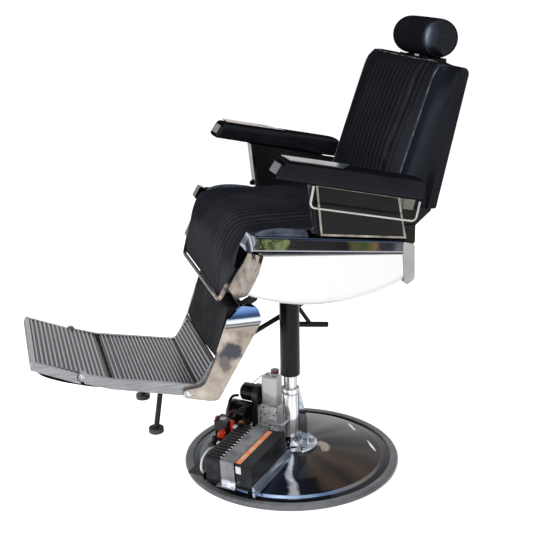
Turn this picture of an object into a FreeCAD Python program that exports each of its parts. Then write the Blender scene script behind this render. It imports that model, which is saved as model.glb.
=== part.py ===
import FreeCAD, Part
import math
import os

from FreeCAD import Placement, Rotation, Vector

# Lengths are in millimetres and angles in degrees. +Z is up, the chair faces -Y and its left is +X.
# The origin is the centre of the base's underside, on the floor and on the column's axis.

# Base and lifting column
BASE_R = 307.0
RUBBER_INNER_R = 284.0
PLATE_R = 293.0
PLATE_T = 9.0
COVER_T = 2.5
COVER_STEP_R = 262.0
COVER_STEP_H = 7.0
DOME_TOP_R = 86.0
DOME_TOP_Z = 43.0
FLANGE_R = 75.0
FLANGE_T = 8.0
FLANGE_BOLT_ANGLES = (20.0, 80.0, 140.0, 320.0)
FLANGE_PCD = 118.0
CYLINDER_R = 23.0
CYLINDER_BORE_R = 20.5
CYLINDER_TOP = 203.0
GLAND_R = 25.0
GLAND_H = 18.0
RAM_R = 19.0
RAM_WALL = 3.5
RAM_BOTTOM = 75.0
RAM_TOP = 548.0
PISTON_H = 18.0
RUNNING_GAP = 0.05
SLEEVE_R = 28.0
SLEEVE_BORE_R = 26.0
SLEEVE_BOTTOM = 260.0
BEARING_Z = 548.0
HUB_R = 49.0
HUB_TOP = 640.0

# Seat frame and cushion
FRAME_LOW = 640.0
FRAME_HIGH = 670.0
RAIL_X = (225.0, 245.0)
FRAME_FRONT = -165.0
FRAME_REAR = 190.0
CROSSBAR_Y = (-160.0, -45.0, 25.0, 105.0)
CROSSBAR_W = 25.0
OUTRIGGER_Y = (-120.0, 20.0, 130.0)
BOARD_T = 15.5
BOARD_FRONT = -169.3
BOARD_REAR = 175.0
SEAT_HALF = 258.0
SEAT_SHOULDER_X = 214.0
SEAT_EDGE_X = 281.0
SEAT_REAR = 192.0
SEAT_BOTTOM = 686.0
SEAT_TOP = 744.0
SEAT_CROWN = 17.0
SEAT_CHANNELS = 18
SEAT_PLAIN_BORDER = 40.0
CHANNEL_DEPTH = 3.2

# Side body: white shell, chrome band, caps and strips, with their outer face at SIDE_X
SIDE_X = 300.0
SHELL_T = 2.5
SHELL_DEPTH = 38.0
SHELL_ROLL = 24.0

# Arms
ARM_IN = 261.0
ARM_OUT = 356.0
ARM_TOP_FRONT = (-106.0, 939.0)
ARM_TOP_REAR = (245.0, 866.0)
ARM_LOW_FRONT = (-133.0, 898.0)
ARM_LOW_REAR = (237.0, 816.0)
ARM_ROUND = 12.0
ARM_PANEL_X = (266.0, 309.0)
TOWEL_X = 345.0
TOWEL_R = 2.8
TOWEL_BEND = 13.0

# Back, turning about RECLINE_AXIS (y, z)
RECLINE_AXIS = (235.0, 712.0)
BACK_HALF = 231.0
BACK_FRONT_TOP = (321.0, 1134.0)
BACK_FRONT_LOW = (199.0, 779.0)
BACK_REAR_TOP = (407.5, 1114.0)
BACK_REAR_LOW = (326.0, 766.0)
BACK_BOARD_T = 24.0
BACK_FOOT_Z = 766.0
BACK_BORDER = 50.0
BACK_CHANNELS = 14
BACK_CROWN = 13.0
SHAFT_R = 10.0

# Headrest
HEAD_CENTRE = (386.0, 1180.0)
HEAD_R = 50.0
HEAD_HALF = 120.0
BACK_LEAN = math.degrees(math.atan2(321.0 - 226.0, 1134.0 - 858.0))
POST_LENGTH = 190.0
POST_W = 30.0
POST_T = 8.0

# Legrest, turning about LEGREST_AXIS (y, z), with the push rod that ties it to the back
LEGREST_AXIS = (-165.0, 515.0)
LEGREST_PIN_R = 6.0
LEG_SIDE_X = (177.5, 190.0)
LEG_PAD_HALF = 174.0
LEG_PAD_TOP_FRONT = (-212.0, 543.0)
LEG_PAD_LOW_FRONT = (-254.0, 402.0)
LEG_PAD_T = 34.0
LEG_PAD_CROWN = 15.0
ROD_ARM = (30.0, -156.0)
ROD_X = -45.0
ROD_R = 7.0
ROD_EYE_R = 14.0
ROD_PIN_R = 5.0
OPEN_PIVOT_GAP = 2.0

# Footrest, turning about FOOT_AXIS, and its flip plate, turning about FLIP_AXIS
FOOT_AXIS = (-324.0, 323.0)
FLIP_AXIS = (-589.0, 401.0)
FOOT_HALF = 177.0
FOOT_RAIL_T = 11.0
FOOT_TIP = (-708.0, 454.0)
FOOT_NOTCH = (-599.0, 411.0)
FOOT_BEND = (-516.0, 383.0)
FOOT_HEEL = (-296.0, 341.0)
FOOT_HEEL_TOP = (-256.0, 394.0)
TREAD_DROP = 4.0
TREAD_T = 6.0
RIB_H = 2.4
OUTER_RIBS = 15
INNER_RIBS = 18
HEEL_RIBS = 6
LEG_X = 113.0

# Power pack on the base: a tilted tray with the battery, and the upright pump behind it
PACK_ORIGIN = (236.0, -178.0)
PACK_TURN = 135.8
PACK_TILT = 4.6
TRAY_Z = 26.0
TRAY_L = 206.0
BATTERY_W = 146.0
BATTERY_H = 66.0
RELAY_S = (104.0, 222.0)
RELAY_T = (158.0, 196.0)
RELAY_TOP = 60.0
ISOLATOR_POINT = (150.0, 179.0, RELAY_TOP + 2.4)
PUMP_S = (263.0, 319.0)
PUMP_T = (70.0, 122.0)
PORT_T = 84.0
PORT_HEIGHTS = (66.0, 98.0)
CAP_POINT = (300.0, 90.0)
RESERVOIR_TOP = 219.0
MOTOR_CENTRE = (250.0, 104.0)
MOTOR_R = 36.0
MOTOR_T = (150.0, 212.0)
STARTER_CENTRE = (289.0, 155.0)
STARTER_R = 26.0
STARTER_T = (126.0, 192.0)


def box(x, y, z):
    """Block between pairs of limits on each axis."""
    corner = Vector(min(x), min(y), min(z))
    return Part.makeBox(abs(x[1] - x[0]), abs(y[1] - y[0]), abs(z[1] - z[0]), corner)


def cylinder(start, axis, radius, length):
    return Part.makeCylinder(radius, length, Vector(*start), Vector(*axis))


def rod_x(y, z, x0, x1, radius):
    """Round bar along X at (y, z)."""
    return cylinder((min(x0, x1), y, z), (1, 0, 0), radius, abs(x1 - x0))


def revolve(points):
    """Solid turned about Z from (radius, height) points."""
    wire = Part.makePolygon([Vector(r, 0, z) for r, z in points + points[:1]])
    return Part.Face(wire).revolve(Vector(0, 0, 0), Vector(0, 0, 1), 360)


def rounded_edges(points, radii, closed=True):
    """Line and arc edges along points, each corner rounded by its own radius."""
    count = len(points)
    starts = []
    ends = []
    middles = []
    for index, point in enumerate(points):
        if not closed and index in (0, count - 1):
            radius = 0.0
        else:
            radius = radii[index] if isinstance(radii, (list, tuple)) else radii
        before = points[index - 1]
        after = points[(index + 1) % count]
        if radius <= 0:
            starts.append(point)
            ends.append(point)
            middles.append(None)
            continue
        to_before = (before - point).normalize()
        to_after = (after - point).normalize()
        half = to_before.getAngle(to_after) / 2
        reach = radius / math.tan(half)
        inward = (to_before + to_after).normalize()
        starts.append(point + to_before * reach)
        ends.append(point + to_after * reach)
        middles.append(point + inward * (radius / math.sin(half) - radius))
    edges = []
    for index in range(count):
        if middles[index] is not None:
            edges.append(Part.Arc(starts[index], middles[index], ends[index]).toShape())
        following = (index + 1) % count
        if following == 0 and not closed:
            break
        if (starts[following] - ends[index]).Length > 1e-6:
            edges.append(Part.makeLine(ends[index], starts[following]))
    return edges


def rounded_wire(points, radii, closed=True):
    return Part.Wire(rounded_edges(points, radii, closed))


def side_prism(outline, x0, x1, radii=0.0):
    """Plate with a (y, z) outline, between x0 and x1, its corners rounded."""
    low = min(x0, x1)
    wire = rounded_wire([Vector(low, y, z) for y, z in outline], radii)
    return Part.Face(wire).extrude(Vector(abs(x1 - x0), 0, 0))


def tube_along(points, bend, radius):
    """Round bar of straight runs joined by tangent arcs."""
    path = rounded_wire([Vector(*p) for p in points], bend, closed=False)
    start = Vector(*points[0])
    direction = Vector(*points[1]) - start
    circle = Part.Wire(Part.makeCircle(radius, start, direction))
    return path.makePipeShell([circle], True, False)


def fuse(shapes):
    return shapes[0].multiFuse(shapes[1:]).removeSplitter() if len(shapes) > 1 else shapes[0]


def mirrored(shape):
    return shape.mirror(Vector(0, 0, 0), Vector(1, 0, 0))


def both_sides(shape):
    """The shape and its mirror image across the chair's middle plane."""
    return Part.Compound([shape, mirrored(shape)])


def between(a, b, t):
    return tuple(p + (q - p) * t for p, q in zip(a, b))


def offset_line(a, b, distance):
    """Both points of a (y, z) line moved square to it, to the left of a to b."""
    length = math.hypot(b[0] - a[0], b[1] - a[1])
    step = (-(b[1] - a[1]) / length * distance, (b[0] - a[0]) / length * distance)
    return (a[0] + step[0], a[1] + step[1]), (b[0] + step[0], b[1] + step[1])


def disc_plate(centre, radius, x0, x1):
    return rod_x(centre[0], centre[1], x0, x1, radius)


def link_plate(a, b, radius_a, radius_b, x0, x1):
    """Flat link with round ends about two (y, z) points."""
    length = math.hypot(b[0] - a[0], b[1] - a[1])
    along = ((b[0] - a[0]) / length, (b[1] - a[1]) / length)
    side = (-along[1], along[0])
    corners = []
    for point, radius, sign in ((a, radius_a, 1), (b, radius_b, 1), (b, radius_b, -1), (a, radius_a, -1)):
        corners.append((point[0] + side[0] * radius * sign, point[1] + side[1] * radius * sign))
    return fuse([side_prism(corners, x0, x1), disc_plate(a, radius_a, x0, x1),
                 disc_plate(b, radius_b, x0, x1)])


# Base

def base_plate():
    return cylinder((0, 0, 0), (0, 0, 1), PLATE_R, PLATE_T)


def dome_line():
    """(radius, height) points of the chrome cover's outer face, from the rim to the middle."""
    rim = PLATE_T + COVER_T
    points = [(PLATE_R, rim), (COVER_STEP_R, rim + 1.5), (COVER_STEP_R - 3, rim + 1.5 + COVER_STEP_H)]
    start_r, start_z = points[-1]
    for index in range(1, 9):
        t = index / 8
        rise = math.sin(t * math.pi / 2)
        points.append((start_r + (DOME_TOP_R - start_r) * t, start_z + (DOME_TOP_Z - start_z) * rise))
    return points


def base_cover():
    outer = dome_line() + [(CYLINDER_R + 1, DOME_TOP_Z)]
    inner = [(r, z - COVER_T) for r, z in reversed(outer)]
    return revolve(outer + inner)


def on_dome(shape):
    """The shape cut away where it would stand in the base cover."""
    outer = dome_line()
    return shape.cut(revolve([(0, 0), (PLATE_R, 0)] + outer + [(0, DOME_TOP_Z)]))


def base_rubber_ring():
    top = PLATE_T + COVER_T + 0.5
    inner = PLATE_R + 0.3
    section = [(inner, 0), (BASE_R - 4, 0), (BASE_R, 4), (BASE_R, top - 2), (BASE_R - 5, top + 3),
               (RUBBER_INNER_R + 4, top + 3), (RUBBER_INNER_R, top + 1.5), (RUBBER_INNER_R, top + 0.4),
               (inner, top)]
    return revolve(section)


def column_flange():
    inner = CYLINDER_R + 0.02
    top = DOME_TOP_Z + FLANGE_T
    section = [(inner, DOME_TOP_Z), (FLANGE_R, DOME_TOP_Z), (FLANGE_R, top - 3), (FLANGE_R - 4, top),
               (inner + 14, top), (inner + 8, top + 9), (inner + 7, top + 26), (inner, top + 28)]
    return revolve(section)


def around(shape, angles):
    """Copies of a shape turned about the column's axis."""
    copies = []
    for angle in angles:
        copy = shape.copy()
        copy.rotate(Vector(0, 0, 0), Vector(0, 0, 1), angle)
        copies.append(copy)
    return Part.Compound(copies)


def flange_bolts():
    top = DOME_TOP_Z + FLANGE_T
    radius = FLANGE_PCD / 2
    washer = cylinder((radius, 0, top), (0, 0, 1), 9.0, 2.0)
    corners = [Vector(radius + 7.5 * math.cos(a), 7.5 * math.sin(a), top + 2)
               for a in (math.radians(60 * k) for k in range(6))]
    head = Part.Face(Part.makePolygon(corners + corners[:1])).extrude(Vector(0, 0, 5.5))
    return around(fuse([washer, head]), FLANGE_BOLT_ANGLES)


def column_bracket():
    """Upright fin at the back of the cylinder that steadies it on the flange."""
    base = DOME_TOP_Z + FLANGE_T + 1
    edge = CYLINDER_R + 0.7
    outline = [(edge, CYLINDER_TOP - 1), (edge + 4, CYLINDER_TOP - 1), (47, 118), (47, base), (edge, base)]
    return side_prism(outline, -5, 5)


def cylinder_tube():
    outer = cylinder((0, 0, PLATE_T), (0, 0, 1), CYLINDER_R, CYLINDER_TOP - PLATE_T)
    bore = cylinder((0, 0, PLATE_T + 6), (0, 0, 1), CYLINDER_BORE_R, CYLINDER_TOP)
    return outer.cut(bore)


def gland_nut():
    section = [(RAM_R + RUNNING_GAP, CYLINDER_TOP), (GLAND_R, CYLINDER_TOP),
               (GLAND_R, CYLINDER_TOP + GLAND_H - 3), (GLAND_R - 3, CYLINDER_TOP + GLAND_H),
               (RAM_R + RUNNING_GAP, CYLINDER_TOP + GLAND_H)]
    return revolve(section)


# Ram

def ram_tube():
    outer = cylinder((0, 0, RAM_BOTTOM + PISTON_H), (0, 0, 1), RAM_R, RAM_TOP - RAM_BOTTOM - PISTON_H)
    bore = cylinder((0, 0, RAM_BOTTOM), (0, 0, 1), RAM_R - RAM_WALL, RAM_TOP)
    return outer.cut(bore)


def piston():
    radius = CYLINDER_BORE_R - RUNNING_GAP
    groove = radius - 2.5
    low = RAM_BOTTOM
    section = [(0, low), (radius, low), (radius, low + 6), (groove, low + 6), (groove, low + 11),
               (radius, low + 11), (radius, low + PISTON_H), (0, low + PISTON_H)]
    return revolve(section)


def piston_seal():
    outer = CYLINDER_BORE_R - RUNNING_GAP
    inner = outer - 2.4
    low = RAM_BOTTOM + 6.1
    return revolve([(inner, low), (outer, low), (outer, low + 4.8), (inner, low + 4.8)])


def column_sleeve():
    section = [(SLEEVE_BORE_R, SLEEVE_BOTTOM), (SLEEVE_R, SLEEVE_BOTTOM), (SLEEVE_R, BEARING_Z),
               (RAM_R + 0.02, BEARING_Z), (RAM_R + 0.02, BEARING_Z - 8), (SLEEVE_BORE_R, BEARING_Z - 8)]
    return revolve(section)


def swivel_bearing():
    return revolve([(0, BEARING_Z), (SLEEVE_R + 14, BEARING_Z), (SLEEVE_R + 14, BEARING_Z + 10),
                    (0, BEARING_Z + 10)])


# Seat frame

def swivel_hub():
    low = BEARING_Z + 10.3
    flange_low = HUB_TOP - 8
    section = [(0, low), (HUB_R, low), (HUB_R, low + 8), (SLEEVE_R + 5, low + 14),
               (SLEEVE_R + 5, flange_low - 6), (HUB_R + 14, flange_low), (HUB_R + 14, HUB_TOP),
               (0, HUB_TOP)]
    return revolve(section)


def frame_side_rails():
    rail = box(RAIL_X, (FRAME_FRONT, FRAME_REAR), (FRAME_LOW, FRAME_HIGH))
    hollow = box((RAIL_X[0] + 2.5, RAIL_X[1] - 2.5), (FRAME_FRONT - 1, FRAME_REAR + 1),
                 (FRAME_LOW + 2.5, FRAME_HIGH - 2.5))
    return both_sides(rail.cut(hollow))


def frame_crossbars():
    """Bars between the side rails, flat outriggers that carry the side shells, and the lever's fork."""
    bars = []
    for low in CROSSBAR_Y:
        bars.append(box((-RAIL_X[0], RAIL_X[0]), (low, low + CROSSBAR_W), (FRAME_LOW, FRAME_HIGH)))
    for low in OUTRIGGER_Y:
        bar = box((RAIL_X[1], SIDE_X - SHELL_T), (low, low + 30), (FRAME_HIGH - 12, FRAME_HIGH - 8))
        bars += [bar, mirrored(bar)]
    return Part.Compound(bars[:1] + [fuse([bars[1], lever_bracket()])] + bars[2:])


def seat_board():
    return box((-SEAT_HALF + 6, SEAT_HALF - 6), (BOARD_FRONT, BOARD_REAR),
               (FRAME_HIGH, FRAME_HIGH + BOARD_T))


def channel_stations(half, border, channels, edge_x):
    """(x, height) pairs across a channelled pad: 0 in each groove and 1 on each rib."""
    stations = []
    pitch = (half - border) * 2 / channels
    start = -(half - border)
    for index in range(channels):
        left = start + pitch * index
        stations += [(left, 0.0), (left + pitch * 0.3, 1.0), (left + pitch * 0.7, 1.0)]
    stations.append((half - border, 0.0))
    side = [(half - border + pitch * 0.3, 1.0), (half - 8, 0.6), (edge_x, -0.6)]
    return [(-x, h) for x, h in reversed(side)] + stations + side


def seat_section(x, rise):
    """Side outline of the seat pad at x: top, waterfall front, and apron cut short to the sides."""
    share = abs(x) / SEAT_EDGE_X
    lift = SEAT_CROWN * (1 - share ** 2.4) + CHANNEL_DEPTH * rise - 3.0
    fade = max(0.0, (abs(x) - SEAT_SHOULDER_X) / (SEAT_EDGE_X - SEAT_SHOULDER_X))
    toe_y = -243.0 + 40.0 * fade
    toe_z = 582.0 + 128.0 * fade
    swell = lift * 0.55
    knee = (-206.0 - swell, 716.0 + lift * 0.2)
    mid = between(knee, (toe_y, toe_z), 0.5)
    bulge = (mid[0] - swell * 0.9 - 5.0 * (1 - fade), mid[1])
    outline = [(SEAT_REAR, SEAT_TOP + lift * 0.8), (-60.0, SEAT_TOP + 8 + lift),
               (-150.0, SEAT_TOP + 10 + lift),
               (-190.0, SEAT_TOP - 2 + lift * 0.7), knee, bulge, (toe_y, toe_z), (toe_y + 20, toe_z + 8),
               (-176.0, 704.0), (-168.0, SEAT_BOTTOM), (SEAT_REAR, SEAT_BOTTOM)]
    points = [Vector(x, y, z) for y, z in outline]
    return Part.makePolygon(points + points[:1])


def seat_cushion():
    sections = [seat_section(x, h) for x, h in
                channel_stations(SEAT_HALF, SEAT_PLAIN_BORDER, SEAT_CHANNELS, SEAT_EDGE_X - 21)]
    return Part.makeLoft(sections, True, True)


def seat_side_rolls():
    """Padded rolls on the seat's sides, in front of the arm panels."""
    ends = [(-165.0, 722.0, 755.0), (-135.0, 712.0, 762.5), (-98.0, 708.0, 762.0), (-58.0, 706.0, 757.0),
            (-31.0, 704.0, 751.0)]
    wires = []
    for y, low, high in ends:
        points = [Vector(x, y, z) for x, z in ((262, low), (285.4, low), (285.4, high - 9), (262, high))]
        wires.append(rounded_wire(points, [3.0, 3.0, 7.0, 7.0]))
    return both_sides(Part.makeLoft(wires, True, True))


def apron_board():
    """Board behind the seat's front apron."""
    outline = [(-222.0, 592.0), (-216.5, 590.0), (-169.5, 680.0), (-175.0, 694.0)]
    return side_prism(outline, -205, 205)


def front_trim():
    """Bright rail along the apron's lower edge, turned up at both corners."""
    path = [(-244, -229, 625), (-222, -247, 578), (222, -247, 578), (244, -229, 625)]
    return tube_along(path, 22.0, 5.5)


# Side body

BAND_LINE = [(-165.0, 753.0), (207.7, 706.8), (207.0, 679.0), (-178.0, 719.0)]
CAP_LINE = [(-165.4, 753.4), (-184.0, 760.0), (-202.0, 729.0), (-187.0, 714.5), (-178.6, 719.2)]
SHELL_FRONT = [(-151.0, 703.0), (-164.0, 659.0), (-183.0, 620.0), (-193.0, 605.0)]
SHELL_LOW = (5.0, 560.0)
SHELL_REAR = [(212.0, 600.0), (207.0, 674.0)]
STRIP_FRONT = [(-187.5, 713.5), (-209.0, 667.0), (-234.0, 622.0), (-219.0, 598.0)]
REAR_CAP_LINE = [(208.2, 706.5), (239.0, 698.0), (241.0, 606.0), (220.0, 593.0), (212.5, 600.0),
                 (207.5, 674.0)]


def band_prism(outline, depth):
    """Side trim with its outer top edge chamfered."""
    return side_prism(outline, SIDE_X - depth, SIDE_X)


def side_band():
    body = band_prism(BAND_LINE, 14.0)
    wedge = side_prism([(-200.0, 762.0), (240.0, 708.0), (240.0, 703.0), (-200.0, 752.0)], SIDE_X - 5, SIDE_X)
    return body.cut(wedge)


def corner_cap():
    return side_prism(CAP_LINE, SIDE_X - 32, SIDE_X + 2, 4.0)


def shell_face(inset, x):
    """Outline of the white shell, drawn in by inset."""
    front = [Vector(x, y, z) for y, z in SHELL_FRONT]
    rear = [Vector(x, y, z) for y, z in SHELL_REAR]
    edges = [Part.makeLine(front[i], front[i + 1]) for i in range(len(front) - 1)]
    edges.append(Part.Arc(front[-1], Vector(x, *SHELL_LOW), rear[0]).toShape())
    edges.append(Part.makeLine(rear[0], rear[1]))
    edges.append(Part.makeLine(rear[1], front[0]))
    wire = Part.Wire(edges)
    if inset:
        wire = wire.makeOffset2D(-inset)
    return Part.Face(wire)


def rolled_under(solid, roll):
    """The shell's outer lower edge rounded under."""
    outer_x = solid.BoundBox.XMax
    outermost = [e for e in solid.Edges if e.BoundBox.XMin > outer_x - 0.01]
    low = [e for e in outermost if e.BoundBox.YLength > 250 and e.BoundBox.ZMax < 650]
    return solid.makeFillet(roll, low)


def side_shell():
    outer = rolled_under(shell_face(0, SIDE_X - SHELL_DEPTH).extrude(Vector(SHELL_DEPTH, 0, 0)), SHELL_ROLL)
    depth = SHELL_DEPTH - SHELL_T + 1
    inner = shell_face(SHELL_T, SIDE_X - SHELL_DEPTH - 1).extrude(Vector(depth, 0, 0))
    return outer.cut(rolled_under(inner, SHELL_ROLL - SHELL_T))


def front_strip():
    """Strip in front of the shell, its face turned in towards the front."""
    rear = [(y - 0.3, z) for y, z in reversed(SHELL_FRONT)]
    body = side_prism(STRIP_FRONT + rear, SIDE_X - 40, SIDE_X)
    ends = ((-240.0, SIDE_X - 19), (-150.0, SIDE_X - 0.5))
    corners = [(ends[0][1], ends[0][0]), (ends[1][1], ends[1][0]), (ends[1][1] - 12, ends[1][0]),
               (ends[0][1] - 12, ends[0][0])]
    points = [Vector(x, y, 590) for x, y in corners]
    facet = Part.Face(Part.makePolygon(points + points[:1])).extrude(Vector(0, 0, 140))
    return body.common(facet)


def rear_cap():
    return side_prism(REAR_CAP_LINE, SIDE_X - 30, SIDE_X + 1, [3, 8, 12, 6, 1, 1])


# Arms

def arm_line(top, t):
    """Point a share t of the way back along the arm's top or lower line."""
    return between(ARM_TOP_FRONT, ARM_TOP_REAR, t) if top else between(ARM_LOW_FRONT, ARM_LOW_REAR, t)


def arm_section(t, draw_in, crown):
    """Rounded section of the armrest pad, leaning as its front end does."""
    top = arm_line(True, t)
    low = arm_line(False, t)
    x0 = ARM_IN + draw_in
    x1 = ARM_OUT - draw_in
    high = between(top, low, draw_in / 60.0)
    base = between(low, top, draw_in / 60.0)
    raised = between(high, base, -crown / 45.0)
    mid = (x0 + x1) / 2
    r = ARM_ROUND - draw_in * 0.3
    near = r / 45
    outer = [(x1 - r, high), (x1 - r * 0.3, between(high, base, near * 0.3)),
             (x1, between(high, base, near)), (x1, between(base, high, near)),
             (x1 - r * 0.3, between(base, high, near * 0.3)), (x1 - r, base)]
    inner = [(x0 + x1 - x, p) for x, p in reversed(outer)]
    points = [Vector(x, p[0], p[1]) for x, p in outer + inner]
    crest = Vector(mid, raised[0], raised[1])
    edges = [Part.Arc(points[0], points[1], points[2]).toShape(), Part.makeLine(points[2], points[3]),
             Part.Arc(points[3], points[4], points[5]).toShape(), Part.makeLine(points[5], points[6]),
             Part.Arc(points[6], points[7], points[8]).toShape(), Part.makeLine(points[8], points[9]),
             Part.Arc(points[9], points[10], points[11]).toShape(),
             Part.Arc(points[11], crest, points[0]).toShape()]
    return Part.Wire(edges)


def armrest_pad():
    stations = [(0.0, 3.0, 1.0), (0.02, 0.5, 2.0), (0.3, 0.0, 3.0), (0.7, 0.0, 3.0), (0.97, 0.5, 2.0),
                (1.0, 6.0, 1.0)]
    return Part.makeLoft([arm_section(*s) for s in stations], True, True)


def armrest_top_plate():
    """Flat gloss plate let into the front of the armrest's top, with a slanted rear end."""
    front = arm_line(True, 0.03)
    rear_out = arm_line(True, 0.40)
    rear_in = arm_line(True, 0.52)
    lift = 2.2
    corners = [(ARM_OUT - 12, front), (ARM_OUT - 12, rear_out), (ARM_IN + 12, rear_in), (ARM_IN + 12, front)]
    points = [Vector(x, p[0], p[1] + lift) for x, p in corners]
    return Part.Face(Part.makePolygon(points + points[:1])).extrude(Vector(0, 0, 2.4))


def armrest_end_cap():
    """Brushed plate set in the armrest's front face."""
    top = between(ARM_TOP_FRONT, ARM_LOW_FRONT, 0.24)
    low = between(ARM_TOP_FRONT, ARM_LOW_FRONT, 0.76)
    outer_top, outer_low = offset_line(top, low, -2.0)
    outline = [outer_top, outer_low, (low[0] + 2, low[1]), (top[0] + 2, top[1])]
    return side_prism(outline, ARM_IN + 20, ARM_OUT - 20)


PANEL_LINE = [(-22.0, 872.8), (192.0, 825.4), (212.0, 717.0), (-10.0, 744.0)]


def arm_panel():
    return side_prism(PANEL_LINE, ARM_PANEL_X[0], ARM_PANEL_X[1] - 3)


def arm_panel_trim():
    """Thin bright frame round the panel's outer face."""
    x0 = ARM_PANEL_X[1] - 3
    outer = side_prism(PANEL_LINE, x0, x0 + 3)
    wire = rounded_wire([Vector(x0 - 1, y, z) for y, z in PANEL_LINE], 0).makeOffset2D(-5.0)
    return outer.cut(Part.Face(wire).extrude(Vector(6, 0, 0)))


def panel_front_rim():
    """Chrome edge on the panel's front, facing forward."""
    outline = [(-30.0, 874.4), (-22.2, 872.6), (-10.2, 744.0), (-18.0, 746.0)]
    return side_prism(outline, ARM_PANEL_X[0] + 1, ARM_PANEL_X[1], 2.0)


def towel_rail():
    path = [(TOWEL_X, -38.5, 876.4), (TOWEL_X, -49, 826), (TOWEL_X, 219, 769), (TOWEL_X, 230, 816.9)]
    return tube_along(path, TOWEL_BEND, TOWEL_R)


# Back

def back_section(x, rise):
    """Side outline of the back cushion at x, in front of the board."""
    share = abs(x) / BACK_HALF
    swell = BACK_CROWN * (1 - share ** 7) + CHANNEL_DEPTH * rise - 3.0
    board = offset_line(BACK_REAR_TOP, BACK_REAR_LOW, -BACK_BOARD_T - 0.4)
    front = (BACK_FRONT_LOW, BACK_FRONT_TOP)
    corner_drop = 14.0 * max(0.0, (abs(x) - BACK_HALF + 26) / 26) ** 2
    belly = [offset_line(between(*front, t - 0.1), between(*front, t), swell * k)[1]
             for t, k in ((0.18, 1.3), (0.36, 1.75), (0.62, 1.35), (0.9, 0.9))]
    crest = (BACK_FRONT_TOP[0] + 10, BACK_FRONT_TOP[1] + 2 + swell * 0.3 - corner_drop)
    rear_top = (board[0][0] - 10, board[0][1] + 2 - corner_drop * 0.6)
    behind = between(board[0], board[1], 0.05)
    foot = between(board[0], board[1], (board[0][1] - BACK_FOOT_Z - 0.5) / (board[0][1] - board[1][1]))
    toe = (BACK_FRONT_LOW[0] - swell * 0.6, BACK_FRONT_LOW[1] + 16)
    outline = belly[::-1] + [toe, (BACK_FRONT_LOW[0] + 20, BACK_FRONT_LOW[1]), foot, behind, rear_top, crest]
    points = [Vector(x, y, z) for y, z in outline]
    return Part.makePolygon(points + points[:1])


def guide_slot():
    """Room in the cushion's back for the headrest guide and its lugs."""
    half = POST_W / 2 + 4.4
    outline = [post_point(30.0, POST_T / 2 + 4.4), post_point(30.0, -60.0), post_point(215.0, -60.0),
               post_point(215.0, POST_T / 2 + 4.4)]
    return side_prism(outline, -half, half)


def back_cushion():
    sections = [back_section(x, h) for x, h in
                channel_stations(BACK_HALF - 2, BACK_BORDER, BACK_CHANNELS, BACK_HALF)]
    return Part.makeLoft(sections, True, True).cut(guide_slot())


def post_point(along, forward=0.0):
    """(y, z) of a point below the headrest's centre, along the post."""
    lean = math.radians(BACK_LEAN)
    return (HEAD_CENTRE[0] - along * math.sin(lean) - forward * math.cos(lean),
            HEAD_CENTRE[1] - along * math.cos(lean) + forward * math.sin(lean))


def post_bar(first, last, half_width, half_depth):
    """Bar along the post between two distances below the headrest's centre."""
    outline = [post_point(first, half_depth), post_point(first, -half_depth),
               post_point(last, -half_depth), post_point(last, half_depth)]
    return side_prism(outline, -half_width, half_width)


def back_board():
    front = offset_line(BACK_REAR_TOP, BACK_REAR_LOW, -BACK_BOARD_T)
    slope = (front[0][0] - front[1][0]) / (front[0][1] - front[1][1])
    low = (front[1][0] - slope * (front[1][1] - BACK_FOOT_Z), BACK_FOOT_Z)
    outline = [BACK_REAR_TOP, BACK_REAR_LOW, low, front[0]]
    return side_prism(outline, -BACK_HALF, BACK_HALF, [16.0, 5.0, 1.0, 1.0])


def headrest_guide():
    outer = post_bar(74.0, 210.0, POST_W / 2 + 4, POST_T / 2 + 4)
    front = offset_line(BACK_REAR_TOP, BACK_REAR_LOW, -BACK_BOARD_T)
    reach = side_prism([post_point(90.0), post_point(200.0), between(*front, 0.37), between(*front, 0.06)],
                       -POST_W / 2 - 4, POST_W / 2 + 4)
    return fuse([outer, reach]).cut(post_bar(50.0, 220.0, POST_W / 2 + 0.3, POST_T / 2 + 0.3))


def headrest_post():
    return post_bar(HEAD_R - 12, POST_LENGTH, POST_W / 2, POST_T / 2)


def headrest_pad():
    """Bolster along X with rolled ends that are drawn in to a button."""
    half = HEAD_HALF
    r = HEAD_R
    profile = [(-half + 8, 0.0), (-half + 6, 10.0), (-half + 1, 22.0), (-half, 34.0), (-half + 4, 44.0),
               (-half + 13, r - 2), (-half + 26, r), (0.0, r + 1)]
    profile = profile + [(-x, rr) for x, rr in reversed(profile[:-1])]
    points = [Vector(x, 0, z) for x, z in profile]
    face = Part.Face(Part.makePolygon(points + points[:1]))
    body = face.revolve(Vector(0, 0, 0), Vector(1, 0, 0), 360)
    body.translate(Vector(0, *HEAD_CENTRE))
    return body.cut(post_bar(HEAD_R - 13, POST_LENGTH, POST_W / 2 + 0.3, POST_T / 2 + 0.3))


def bored(shape, centre, radius, x0, x1):
    return shape.cut(rod_x(centre[0], centre[1], x0 - 1, x1 + 1, radius))


def back_hinge_arms():
    """Side arms that carry the back from the recline shaft."""
    x0 = 206.0
    x1 = 214.0
    arm = side_prism([(218, 704), (252, 700), (320, 757), (320, 765), (226, 765), (216, 730)], x0, x1, 3.0)
    boss = disc_plate(RECLINE_AXIS, 19.0, x0, x1)
    foot = box((170.0, x1), (226.0, 320.0), (BACK_FOOT_Z - 5, BACK_FOOT_Z))
    return both_sides(bored(fuse([arm, boss, foot]), RECLINE_AXIS, SHAFT_R + 0.02, x0, x1))


def recline_shaft():
    return rod_x(*RECLINE_AXIS, -262.0, 262.0, SHAFT_R)


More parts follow.
